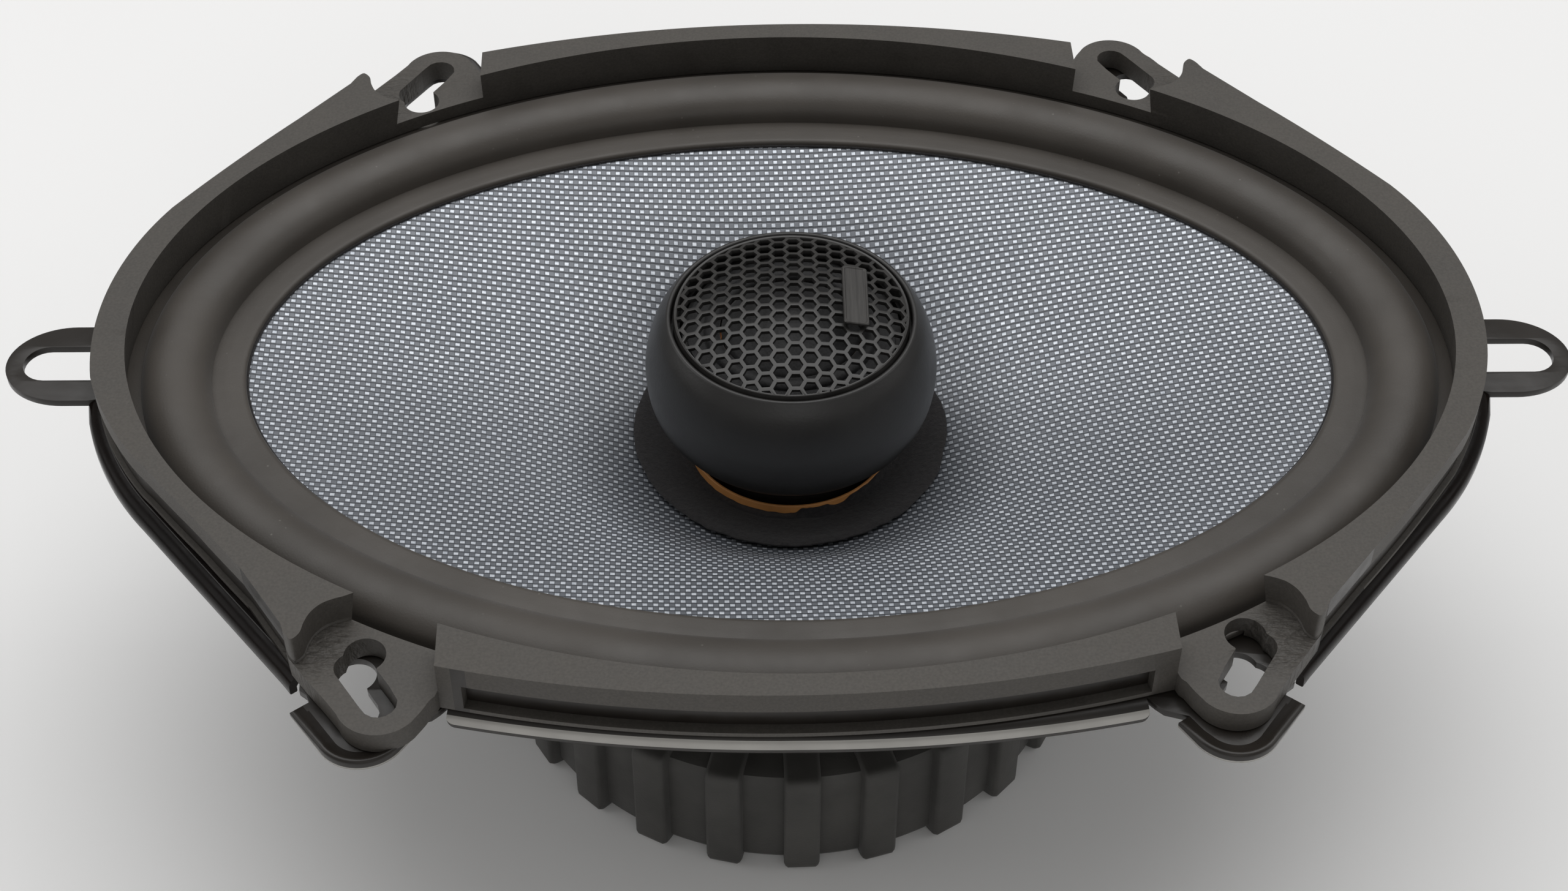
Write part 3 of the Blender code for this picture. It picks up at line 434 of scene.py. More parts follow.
def loose(name, shape):
    mesh = bpy.data.meshes.new(name)
    bmesh.ops.recalc_face_normals(shape, faces=shape.faces)
    shape.to_mesh(mesh)
    shape.free()
    return placed(name, mesh)


def new_piece(name, shape, material, replaces=(), body="frame", angle=35):
    return dress(loose(name, shape), material, replaces, body, angle)


def dress(piece, material, replaces=(), body="frame", angle=35):
    """Gives a drawn piece its material, its height in the frame, its body and the nodes it replaces."""
    if not piece.data.materials:
        piece.data.materials.append(material)
    piece.data.transform(Matrix.Translation((0, 0, -BASE)))
    piece.data.shade_smooth()
    piece.data.set_sharp_from_angle(angle=math.radians(angle))
    if body:
        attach(piece, body)
    for node in replaces:
        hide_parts(node)
    return piece


def apply_modifiers(piece):
    graph = bpy.context.evaluated_depsgraph_get()
    mesh = bpy.data.meshes.new_from_object(piece.evaluated_get(graph))
    old = piece.data
    piece.modifiers.clear()
    piece.data = mesh
    bpy.data.meshes.remove(old)
    mesh.name = piece.name


def oval_radius(size, power, angle):
    across = abs(math.cos(angle) / size[0]) ** power
    along = abs(math.sin(angle) / size[1]) ** power
    return (across + along) ** (-1 / power)


def oval(size, count=AROUND, power=1.96):
    points = []
    for step in range(count):
        angle = 2 * math.pi * step / count
        radius = oval_radius(size, power, angle)
        points.append((radius * math.cos(angle), radius * math.sin(angle)))
    return points


def smooth_points(points, per_span):
    """Catmull-Rom through rows of numbers, `per_span` rows for each span."""
    made = []
    for index in range(len(points) - 1):
        p0 = points[max(index - 1, 0)]
        p1, p2 = points[index], points[index + 1]
        p3 = points[min(index + 2, len(points) - 1)]
        for step in range(per_span):
            t = step / per_span
            row = []
            for a, b, c, d in zip(p0, p1, p2, p3):
                square, cube = 2 * a - 5 * b + 4 * c - d, 3 * b - a - 3 * c + d
                row.append(0.5 * (2 * b + (c - a) * t + square * t * t + cube * t**3))
            made.append(tuple(row))
    made.append(tuple(points[-1]))
    return made


def read_off(table, value):
    """Between the (value, result) rows of a table; 0 outside it."""
    for (x0, y0), (x1, y1) in zip(table, table[1:]):
        if x0 <= value <= x1:
            return y0 + (y1 - y0) * (value - x0) / (x1 - x0)
    return 0.0


def ring(shape, outline, height):
    return [shape.verts.new((x, y, height)) for x, y in outline]


def arc(centre, radius, start, end, steps, last=1):
    """Points on an arc between two angles, with or without the last one."""
    angles = [start + (end - start) * step / steps for step in range(steps + last)]
    return [(centre[0] + radius * math.cos(a), centre[1] + radius * math.sin(a)) for a in angles]


def circle(radius, steps, centre=(0, 0)):
    return arc(centre, radius, 0, 2 * math.pi, steps, 0)


def skin(shape, rows, closed=False):
    """Faces between each ring of vertices and the next, and from the last to the first where closed."""
    made = []
    for lower, upper in zip(rows, rows[1:] + rows[:1] if closed else rows[1:]):
        for i in range(len(lower)):
            j = (i + 1) % len(lower)
            corners = list(dict.fromkeys((lower[i], lower[j], upper[j], upper[i])))
            if len(corners) > 2:
                made.append(shape.faces.new(corners))
    return made


def cap(shape, rows):
    """Faces over the first and last ring."""
    shape.faces.new(rows[0])
    shape.faces.new(rows[-1])


def loft(sections, closed=True, count=AROUND):
    """Ovals (half length, half width, height, power) joined into a skin; closed back on the first."""
    shape = bmesh.new()
    rings = []
    for length, width, height, power in sections:
        rings.append(ring(shape, oval((length, width), count, power), height))
    skin(shape, rings, closed)
    return shape


def turned(profile, steps=128, closed=True, shape=None, centre=(0, 0)):
    """A (radius, height) profile turned about a vertical axis; points on the axis become one vertex."""
    shape = shape or bmesh.new()
    rows = []
    for radius, height in profile:
        if radius < 1e-7:
            rows.append(ring(shape, [centre], height) * steps)
        else:
            rows.append(ring(shape, circle(radius, steps, centre), height))
    skin(shape, rows, closed)
    return shape


def in_mm(points):
    return [(x * MM, y * MM) for x, y in points]


def rounded(points, radius, steps=3, closed=True):
    """The polygon with each corner turned into a small curve that starts `radius` from it."""
    made = []
    count = len(points)
    for index, point in enumerate(points):
        corner = Vector(point)
        if not closed and index in (0, count - 1):
            made.append(tuple(corner))
            continue
        before, after = Vector(points[index - 1]), Vector(points[(index + 1) % count])
        reach = min(radius, 0.45 * (before - corner).length, 0.45 * (after - corner).length)
        first = corner + (before - corner).normalized() * reach
        last = corner + (after - corner).normalized() * reach
        for step in range(steps + 1):
            t = step / steps
            made.append(tuple(first * (1 - t) ** 2 + corner * 2 * t * (1 - t) + last * t**2))
    return made


def rectangle(x, y):
    return [(-x, -y), (x, -y), (x, y), (-x, y)]


def rounded_ring(inner, outer, low, high, radius):
    """A ring's section, from sizes in mm."""
    return in_mm(rounded([(inner, high), (outer, high), (outer, low), (inner, low)], radius))


def slot_outline(x, half_length, radius):
    """A slot along the X axis, centred on `x`."""
    quarter, steps = math.pi / 2, 14
    right = arc((x + half_length, 0), radius, -quarter, quarter, steps)
    return right + arc((x - half_length, 0), radius, quarter, 3 * quarter, steps)


def keyhole(inside, circle, slot_ends, slot_radius, count=72):
    """A round hole, (centre, radius), joined to a slot; `inside` is a point within both."""
    discs = [circle]
    for step in range(49):
        discs.append((Vector(slot_ends[0]).lerp(Vector(slot_ends[1]), step / 48), slot_radius))
    points = []
    for step in range(count):
        angle = 2 * math.pi * step / count
        heading = Vector((math.cos(angle), math.sin(angle)))
        reach = 0.0
        for centre, radius in discs:
            offset = Vector(centre) - Vector(inside)
            ahead = offset.dot(heading)
            half_chord = radius**2 - offset.length_squared + ahead**2
            if half_chord > 0:
                reach = max(reach, ahead + math.sqrt(half_chord))
        points.append((inside[0] + reach * heading.x, inside[1] + reach * heading.y))
    return points


def all_quadrants(quarter):
    second = [(-x, y) for x, y in reversed(quarter) if x > 1e-6]
    half = quarter + second
    lower = [(x, -y) for x, y in reversed(half) if y > 1e-6]
    return half + lower


def arc_through(first, middle, last, steps):
    """The arc through three points, without the last of them."""
    a, b, c = Vector(first), Vector(middle), Vector(last)
    d = 2 * (a.x * (b.y - c.y) + b.x * (c.y - a.y) + c.x * (a.y - b.y))
    x = (a.length_squared * (b.y - c.y) + b.length_squared * (c.y - a.y) + c.length_squared * (a.y - b.y)) / d
    y = (a.length_squared * (c.x - b.x) + b.length_squared * (a.x - c.x) + c.length_squared * (b.x - a.x)) / d
    start = math.atan2(a.y - y, a.x - x)
    through = (math.atan2(b.y - y, b.x - x) - start) % (2 * math.pi)
    sweep = (math.atan2(c.y - y, c.x - x) - start) % (2 * math.pi)
    if through > sweep:
        sweep -= 2 * math.pi
    radius = (a - Vector((x, y))).length
    return arc((x, y), radius, start, start + sweep, steps, 0)


def plate(outlines, low, high):
    """A flat outline with holes, raised from `low` to `high`, as a mesh object."""
    curve = bpy.data.curves.new("outline", "CURVE")
    curve.dimensions = "2D"
    curve.fill_mode = "BOTH"
    curve.extrude = (high - low) / 2
    for outline in outlines:
        spline = curve.splines.new("POLY")
        spline.points.add(len(outline) - 1)
        for point, (x, y) in zip(spline.points, outline):
            point.co = (x, y, 0, 1)
        spline.use_cyclic_u = True
    flat = placed("outline", curve)
    bpy.context.view_layer.update()
    mesh = bpy.data.meshes.new_from_object(flat.evaluated_get(bpy.context.evaluated_depsgraph_get()))
    bpy.data.objects.remove(flat, do_unlink=True)
    mesh.transform(Matrix.Translation((0, 0, (low + high) / 2)))
    shape = bmesh.new()
    shape.from_mesh(mesh)
    bmesh.ops.remove_doubles(shape, verts=shape.verts, dist=1e-6)
    bmesh.ops.recalc_face_normals(shape, faces=shape.faces)
    bpy.data.meshes.remove(mesh)
    return shape


def cut(piece, *cutters):
    for other in cutters:
        step = piece.modifiers.new("cut", "BOOLEAN")
        step.object = other
        step.operation = "DIFFERENCE"
        step.solver = "EXACT"
    apply_modifiers(piece)
    for other in cutters:
        bpy.data.objects.remove(other, do_unlink=True)


def bevel(piece, width, segments=2, angle=28):
    step = piece.modifiers.new("bevel", "BEVEL")
    step.width = width
    step.segments = segments
    step.limit_method = "ANGLE"
    step.angle_limit = math.radians(angle)
    step.use_clamp_overlap = True
    apply_modifiers(piece)


def column(shape, outline, low, high):
    rows = [ring(shape, outline, low), ring(shape, outline, high)]
    cap(shape, rows)
    skin(shape, rows)


def inward_normals(line):
    """The normal at each point of a line, all on the side that faces the middle."""
    normals = []
    for index in range(len(line)):
        before = Vector(line[max(index - 1, 0)])
        after = Vector(line[min(index + 1, len(line) - 1)])
        along = (after - before).normalized()
        normals.append(Vector((-along.y, along.x)))
    outward = sum(normal.dot(Vector(point)) for normal, point in zip(normals, line))
    return [-normal if outward > 0 else normal for normal in normals]


def sweep(shape, line, profile, marked=(), level=None, side=1, taper=1.0):
    """A closed (inset, height) profile along `line`; the spans in `marked` get the second material.

    With a `level`, what lies above it (`side` 1) or below it (-1) rounds off over `taper` at both ends.
    """
    sections = []
    along_line = [0.0]
    for (x0, y0), (x1, y1) in zip(line, line[1:]):
        along_line.append(along_line[-1] + math.hypot(x1 - x0, y1 - y0))
    for index, ((x, y), normal) in enumerate(zip(line, inward_normals(line))):
        to_end = min(1, along_line[index] / taper, (along_line[-1] - along_line[index]) / taper)
        fade = math.sqrt(1 - (1 - to_end) ** 2)
        section = []
        for inset, height in profile:
            if level is not None and (height - level) * side > 0:
                height = level + (height - level) * fade
            section.append(shape.verts.new((x + normal.x * inset, y + normal.y * inset, height)))
        sections.append(section)
    for index, face in enumerate(skin(shape, sections)):
        face.material_index = 1 if index % len(profile) in marked else 0
    cap(shape, sections)


def mirrored(line):
    """The four mirrored copies of a line in the first quarter."""
    return [[(sx * x, sy * y) for x, y in line] for sx in (1, -1) for sy in (1, -1)]


# ---------------------------------------------------------------- flange and gasket outlines

def gasket_end():
    """The arc round the end, from the +X axis, in mm."""
    return arc((50.75, 0), 49.45, 0, math.atan2(26.5, 41.75), 20, 0)


def side_arc(start, end, grow=0.0):
    """25 points of the gasket's long side, or of its parallel `grow` further out, between two x in mm."""
    radius, centre = 187.4, -117.8
    first, last = math.asin(start / radius), math.asin(end / radius)
    angles = [first + (last - first) * step / 24 for step in range(25)]
    reach = radius + grow
    return [(reach * math.sin(a), centre + reach * math.cos(a)) for a in angles]


def gasket_quarter():
    """The outer edge from the +X axis to the +Y axis."""
    shoulder = arc_through((92.5, 26.5), (84.0, 37.4), (75.6, 47.2), 12)
    corner = [(75.6, 47.2), (68.1, 56), (67.4, 57.6), (66.6, 58.6), (65.9, 59.5), (65.3, 60.3), (62.1, 64.4)]
    ear = arc_through((60.3, 66.9), (55.8, 70.35), (50.6, 68.3), 22)
    back = [(50.6, 68.3), (49.4, 66.5), (48.6, 65.0), (48.0, 64.4)]
    return in_mm(gasket_end() + shoulder + corner + ear + back + side_arc(SIDE_END, 0))


def flange_diagonal():
    bend = arc_through((101.2, 11.2), (97.3, 20.7), (90.6, 30.5), 20)
    straight = [(90.6, 30.5), (83.0, 39.7), (75.4, 48.9), (67.8, 58.1), (66.6, 59.7)]
    return in_mm([(101.9, 7.7)] + bend + straight)


def flange_ear():
    bow = arc_through((61.4, 70.6), (56.3, 73.45), (51.2, 71.0), 16)
    return in_mm([(65.7, 64.9)] + bow + [(51.2, 71.0), (48.9, 67.6)])


def flange_side():
    points = in_mm(arc_through((45.6, 65.2), (24.0, 68.7), (0, 69.9), 20) + [(0, 69.9)])
    first, second = Vector(points[0]), Vector(points[1])
    near_end = [tuple(first.lerp(second, share)) for share in (0.03, 0.1, 0.22, 0.4)]
    return points[:1] + near_end + points[1:]


def inset_line(line, amount):
    """The line moved towards the middle by `amount`."""
    return [(x + n.x * amount, y + n.y * amount) for (x, y), n in zip(line, inward_normals(line))]


def flange_quarter(inset):
    curve, half_width = 9.3 * MM, 7.7 * MM
    tab = []
    for step in range(17):
        angle = math.pi / 2 * step / 16
        tab.append((TAB_END - curve + curve * math.cos(angle), half_width * math.sin(angle)))
    diagonal = inset_line(flange_diagonal(), inset)
    ear = inset_line(flange_ear(), inset)
    side = inset_line(flange_side(), inset)
    notch = in_mm([(64.9, 61.2), (63.9, 62.0), (63.4, 63.2)])
    crook = in_mm([(47.4, 65.6), (46.3, 64.6)])
    return tab + [(101.9 * MM, half_width)] + diagonal + notch + ear + crook + side


# ---------------------------------------------------------------- pieces of the basket

def make_flange(steel, edge, rolled):
    """The flat flange with its slots, and its pressed edge: turned down outside, turned up round the ears."""
    hole = keyhole((58.75, 59.45), ((57.8, 58.8), 2.75), ((59.7, 60.1), (56.5, 65.0)), 2.4)
    slots = mirrored(in_mm(hole))
    for side in (1, -1):
        slots.append(slot_outline(side * 104.3 * MM, 4.7 * MM, 3.5 * MM))
    outline = all_quadrants(flange_quarter(1.9 * MM))
    shape = plate([outline, oval((93.9 * MM, 64.4 * MM))] + slots, FLANGE_TOP - STEEL, FLANGE_TOP)
    flange = loose("flange", shape)
    bevel(flange, 0.22 * MM, 2, 40)
    top, low = FLANGE_TOP - 0.02 * MM, FLANGE_TOP - STEEL + 0.02 * MM
    shape = bmesh.new()
    hem = [(2.1, 0), (1.5, -0.04), (0.9, -0.22), (0.35, -0.62), (0.06, -1.15), (0, -2.1), (0, -2.7)]
    hem += [(0.15, -2.85), (0.95, -2.85), (1.1, -2.7), (1.1, -1.9), (1.5, -1.35), (2.1, -1.06)]
    profile = [(inset * MM, top + height * MM) for inset, height in hem]
    sloping = [(5.5 * MM, top + 0.05 * MM), (2.2 * MM, top + 0.04 * MM)] + profile[1:]
    for line in mirrored(flange_diagonal()):
        sweep(shape, line, sloping)
    # The diagonal skirts take the third material, a darker copy of the steel paint: painted shade.
    for face in shape.faces:
        face.material_index = 2
    half = flange_side()
    for sy in (1, -1):
        full = [(x, sy * y) for x, y in half] + [(-x, sy * y) for x, y in reversed(half[:-1])]
        # The marked spans on the hem's bend take the second material, a light paint: painted highlight.
        sweep(shape, full, profile, (3, 4), low, -1, 0.9 * MM)
    lip = [(2.3, 0), (1.5, 0.12), (0.95, 0.42), (0.65, 0.62), (0.35, 0.66), (0.08, 0.5), (0, 0.2), (0, -0.5)]
    lip += [(0, -0.85), (0.2, -1.06), (2.3, -1.06)]
    profile = [(inset * MM, top + height * MM) for inset, height in lip]
    # The marked span on the ear lip's rim takes the second material, a light paint: painted highlight.
    for line in mirrored(flange_ear()):
        sweep(shape, line, profile, (7,), top, 1, 6.0 * MM)
    rim = loose("flange_edge", shape)
    for material in (steel, edge, rolled):
        rim.data.materials.append(material)
    dress(rim, steel, angle=50)
    dress(flange, steel, replaces=("basket",), angle=35)


def ovals_in_mm(rows):
    return [(a * MM, b * MM, z * MM, power) for a, b, z, power in rows]


def make_bowl(steel):
    """The pressed frame below the flange, with its six windows."""
    inner = [
        (93.4, 63.9, 64.95, 1.96), (93.0, 63.5, 62.6, 1.96), (92.4, 62.9, 60.5, 1.96), (89, 60, 58, 1.96),
        (66.0, 51.8, 46.6, 1.98), (48.0, 47.0, 41.0, 2), (45.5, 45.5, 40.5, 2), (36.2, 36.2, 40.5, 2),
        (33.4, 33.4, 23.8, 2), (21.5, 21.5, 23.8, 2),
    ]
    outer = [
        (21.5, 21.5, 22.7, 2), (34.4, 34.4, 22.7, 2), (37.1, 37.1, 39.4, 2), (46.0, 46.0, 39.4, 2),
        (49.0, 48.0, 40.1, 2), (66.8, 52.8, 45.7, 1.98), (89.9, 61.0, 57.2, 1.96), (93.6, 64.1, 60.0, 1.96),
        (94.4, 64.9, 62.6, 1.96), (94.6, 65.1, 64.95, 1.96),
    ]
    bowl = loose("basket_bowl", loft(ovals_in_mm(inner + outer), True, 192))
    shape = bmesh.new()
    for middle, half in ((0, 24), (62, 20), (118, 20), (180, 24), (242, 20), (298, 20)):
        start, end = math.radians(middle - half), math.radians(middle + half)
        window = arc((0, 0), 49 * MM, start, end, 8) + arc((0, 0), 130 * MM, end, start, 8)
        column(shape, rounded(window, 1.5 * MM, 3), 43.4 * MM, 56.6 * MM)
    cut(bowl, loose("windows", shape))
    bevel(bowl, 0.25 * MM, 2, 35)
    dress(bowl, steel, angle=40)
    shape = bmesh.new()
    dimple = in_mm([(0, 24.3), (1.1, 24.2), (1.9, 23.82), (1.9, 23.4)])
    for index in range(8):
        angle = math.radians(22.5 + 45 * index)
        centre = (30.2 * MM * math.cos(angle), 30.2 * MM * math.sin(angle))
        turned(dimple, 24, False, shape, centre)
    dress(loose("seat_dimples", shape), steel)


# ---------------------------------------------------------------- gasket

def pull_in(gasket):
    """The front left diagonal of the moulding lies further in than the other three."""
    pull = [(10, 0), (20, 1.2), (28, 2.0), (38, 2.3), (47, 1.9), (54, 0.6), (57, 0.2), (61, 0)]
    inward = (0.77, 0.64)
    ear_side, fade = 64.5, 3.5
    for vert in gasket.data.vertices:
        side, depth = -vert.co.x / MM, -vert.co.y / MM
        if side > ear_side:
            amount = read_off(pull, depth) * min(1, (side - ear_side) / fade) * MM
            vert.co.x += inward[0] * amount
            vert.co.y += inward[1] * amount


def make_gasket(plastic, groove_shade_paint):
    """Keyholes, recesses and grooves turn with the moulding; mouth and rebate stay with the basket."""
    hole = keyhole((58.2, 58.3), ((57.45, 57.3), 2.78), ((58.9, 59.3), (55.05, 65.2)), 2.4)
    shape = plate([all_quadrants(gasket_quarter())] + mirrored(in_mm(hole)), GASKET_LOW, GASKET_TOP)
    gasket = loose("gasket", shape)
    grown = [MOUTH[0] + 1.2 * MM, MOUTH[1] + 1.2 * MM]
    sections = [
        (*grown, 60 * MM, 1.96),
        (*grown, GASKET_LOW, 1.96),
        (*MOUTH, GASKET_TOP, 1.96),
        (*MOUTH, 80 * MM, 1.96),
    ]
    mouth = loft(sections, False)
    bmesh.ops.holes_fill(mouth, edges=[e for e in mouth.edges if e.is_boundary])
    rebate = plate([oval((97.3 * MM, 68.0 * MM))], 60 * MM, GASKET_LOW + 0.9 * MM)
    wall = [(58.3, 50.6), (60.0, 51.4), (61.5, 51.9), (63.0, 52.7), (64.2, 54.1), (64.9, 55.8), (65.2, 57.3)]
    horn = [(65.8, 58.2), (66.4, 58.5), (67.2, 57.7), (67.8, 56.6)]
    quarter = smooth_points(in_mm(wall + horn), 5) + in_mm([(73, 57.5), (72, 66), (56, 80), (47.65, 76)])
    quarter += in_mm([(47.65, 52), (56, 44)])
    recess = bmesh.new()
    for outline in mirrored(quarter):
        column(recess, outline, PAD_TOP, 80 * MM)
    groove = bmesh.new()
    slot_low, slot_high = 66.0 * MM, 70.4 * MM
    for sy in (1, -1):
        points = side_arc(44.5, -44.5, 2.0) + side_arc(-44.5, 44.5, -1.5)
        column(groove, in_mm([(x, sy * y) for x, y in points]), slot_low, slot_high)
    diagonal = [point for point in gasket_quarter() if point[0] > 68.0 * MM and point[1] > 9.0 * MM]
    for line in mirrored(diagonal):
        column(groove, inset_line(line, -2.0 * MM) + inset_line(line, 0.7 * MM)[::-1], slot_low, slot_high)
    cut(gasket, loose("recess", recess), loose("groove", groove))
    pull_in(gasket)
    gasket.data.transform(Matrix.Rotation(TWIST, 4, "Z"))
    cut(gasket, loose("mouth", mouth), loose("rebate", rebate))
    bevel(gasket, 0.38 * MM, 3, 30)
    gasket.data.materials.append(plastic)
    gasket.data.materials.append(groove_shade_paint)
    # Outward faces between the grooves' heights take the second material, the dark steel paint: painted shade
    # in the recesses.
    for face in gasket.data.polygons:
        middle, out = face.center, face.normal
        beside_ear = 45.2 * MM < abs(middle.x) < 67.5 * MM or abs(middle.y) < 9.5 * MM
        outward = out.x * middle.x + out.y * middle.y > 0 and abs(out.z) < 0.5
        if outward and not beside_ear and slot_low < middle.z + 0.1 * MM and middle.z - 0.1 * MM < slot_high:
            face.material_index = 1
    dress(gasket, plastic, replaces=("front_gasket",), angle=38)


# ---------------------------------------------------------------- cone set

def make_surround(rubber, glue):
    """The half roll between the clamped outer land and the inner land on the cone's rim."""
    land_top = FLANGE_TOP + 0.3 * MM
    land = (CONE_EDGE[0] + 5.0 * MM, CONE_EDGE[1] + 5.0 * MM)
    width = ROLL_OUTER[0] - land[0]
    skin = 0.55 * MM
    top = [(CONE_EDGE[0] + 0.1 * MM, CONE_EDGE[1] + 0.1 * MM, land_top - 0.35 * MM, 1.95)]
    top.append((CONE_EDGE[0] + 0.35 * MM, CONE_EDGE[1] + 0.35 * MM, land_top - 0.05 * MM, 1.95))
    for step in range(1, 7):
        out = 5.0 * MM * step / 6
        dip = -0.28 * MM * math.exp(-(((out - 4.55 * MM) / (0.45 * MM)) ** 2))
        top.append((CONE_EDGE[0] + out, CONE_EDGE[1] + out, land_top + dip, 1.95))
    steps = 22
    for step in range(1, steps):
        angle = math.pi * step / steps
        out = width * (1 - math.cos(angle)) / 2
        across = land[1] + (ROLL_OUTER[1] - land[1]) * out / width
        top.append((land[0] + out, across, land_top + 4.3 * MM * math.sin(angle) ** 0.85, 1.955))
    clamp = FLANGE_TOP + 0.9 * MM
    top.append((*ROLL_OUTER, clamp, 1.96))
    top.append((97.0 * MM, 67.7 * MM, clamp, 1.96))
    under = []
    middle = (land[0] + ROLL_OUTER[0]) / 2
    for length, across, height, power in reversed(top):
        lift = max(0.0, min(1.0, (height - clamp) / (1.0 * MM)))
        shift = -skin * lift * (length - middle) / (width / 2)
        under.append((length + shift, across + shift, height - skin, power))
    shape = loft(top + under)
    surround = new_piece("surround", shape, rubber, ("surround",), None, 60)
    flex(surround, lambda point: oval_share(point, land, ROLL_OUTER))
    bead = []
    for step in range(8):
        angle = 2 * math.pi * step / 8
        out, height = 0.22 * MM * math.cos(angle), 64.45 * MM + 0.2 * MM * math.sin(angle)
        bead.append((CONE_EDGE[0] + out, CONE_EDGE[1] + out, height, 1.95))
    new_piece("glue_line", loft(bead), glue, (), "cone_set", 180)


def eased(share):
    share = min(1, max(0, share))
    return share * share * (3 - 2 * share)


def oval_share(point, inner, outer):
    """0 at the outer oval, 1 at the inner one."""
    angle = math.atan2(point.y, point.x)
    near, far = oval_radius(inner, 1.955, angle), oval_radius(outer, 1.96, angle)
    return eased((far - math.hypot(point.x, point.y)) / (far - near))


def round_share(point, inner, outer):
    """0 at the outer radius, 1 at the inner one."""
    return eased((outer - math.hypot(point.x, point.y)) / (outer - inner))


def flex(piece, weight):
    """Bakes the piece's place into its mesh and works out `weight` at each point, 0 to 1; the weights are not
    used.
    """
    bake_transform(piece)
    weights = [weight(vert.co) for vert in piece.data.vertices]


def make_cone(weave):
    rows = [(83.2, 53.4, 64.4, 1.95), (79.6, 49.8, 64.3, 1.95), (60.0, 39.2, 60.3, 1.965)]
    rows += [(41.0, 30.8, 55.4, 1.98), (24.2, 24.2, 49.8, 2.0), (15.8, 15.8, 46.8, 2.0)]
    top = ovals_in_mm(rows[:1] + smooth_points(rows[1:], 10))
    under = [(a, b, z - 0.5 * MM, n) for a, b, z, n in reversed(top)]
    new_piece("woven_cone", loft(top + under), weave, ("cone",), "cone_set", 60)


def make_neck(paper, film, copper):
    steps = 240
    shape = bmesh.new()
    rows = []
    profile = [(15.8, 48.3), (17.5, 48.7), (20.0, 49.45), (22.2, 50.2), (23.2, 50.5), (23.6, 50.45)]
    profile += [(23.6, 50.2), (23.2, 50.05), (15.8, 47.75)]
    for radius, height in profile:
        row = []
        for step in range(steps):
            angle = 2 * math.pi * step / steps
            spot = Vector((math.cos(angle) * 3, math.sin(angle) * 3, radius * 0.05))
            edge = max(0.0, (radius - 21.5) / 2.1)
            ragged = edge * (0.28 * noise.noise(spot * 1.4) + 0.24 * noise.noise(spot * 6.0))
            lift = 0.10 * noise.noise(spot * 2.2 + Vector((5, 0, radius)))
            reach = (radius + ragged) * MM
            x, y = reach * math.cos(angle), reach * math.sin(angle)
            row.append(shape.verts.new((x, y, (height + lift) * MM)))
        rows.append(row)
    skin(shape, rows, True)
    new_piece("neck_paper", shape, paper, ("neck_ring",), "cone_set", 60)
    make_glue_bead(paper)
    tube = rounded_ring(15.1, 15.5, 14.7, 49.8, 0.12)
    new_piece("coil_former", turned(tube), film, ("voice_coil_former",), "cone_set")
    coil = rounded_ring(15.8, 16.5, 15.1, 25.2, 0.2)
    new_piece("coil", turned(coil), copper, ("voice_coil",), "cone_set")


def make_glue_bead(glue):
    """The adhesive round the former above the ring; it climbs unevenly, more on the +X side."""
    climbs = [(-16, 0.1), (-9, 0.12), (-3, 0.1), (0.6, 0.15), (1.4, 1.05), (3.2, 0.9), (5.2, 1.05)]
    climbs += [(6.2, 0.35), (7.6, 0.4), (8.6, 1.1), (11, 1.3), (16, 1.2)]
    steps = 360
    rows = [[] for _ in range(7)]
    shape = bmesh.new()
    for step in range(steps):
        angle = 2 * math.pi * step / steps
        climb = read_off(climbs, 15.5 * math.cos(angle))
        spot = Vector((math.cos(angle) * 6, math.sin(angle) * 6, 2.0))
        climb += 0.16 * noise.noise(spot * 1.7) + 0.1 * noise.noise(spot * 4.0)
        top = 48.35 + max(0.02, min(1.4, climb))
        spread = 16.7 + 0.35 * noise.noise(spot)
        section = [(15.52, 48.0), (15.52, top), (15.66, top - 0.03), (15.85, 48.42 + 0.6 * (top - 48.35))]
        section += [(16.2, 48.6), (spread, 48.62), (spread + 0.3, 48.3)]
        for row, (radius, height) in zip(rows, section):
            reach = radius * MM
            row.append(shape.verts.new((reach * math.cos(angle), reach * math.sin(angle), height * MM)))
    skin(shape, rows, True)
    new_piece("neck_glue", shape, glue, (), "cone_set", 60)


def make_spider(cloth):
    inner, outer = 15.8 * MM, 44.2 * MM
    base = 41.4 * MM
    start, end = inner + 1.4 * MM, 35.8 * MM
    top = [(inner, base)]
    steps = 60
    for step in range(steps + 1):
        share = step / steps
        fade = min(1.0, 6 * share, 6 * (1 - share))
        wave = 0.95 * MM * fade * math.sin(2 * math.pi * 5 * share)
        top.append((start + (end - start) * share, base + wave))
    top.append((outer, base))
    under = [(radius, height - 0.5 * MM) for radius, height in reversed(top)]
    spider = new_piece("spider_disc", turned(top + under, 144), cloth, ("spider",), None, 60)
    flex(spider, lambda point: round_share(point, start, end))


# ---------------------------------------------------------------- motor

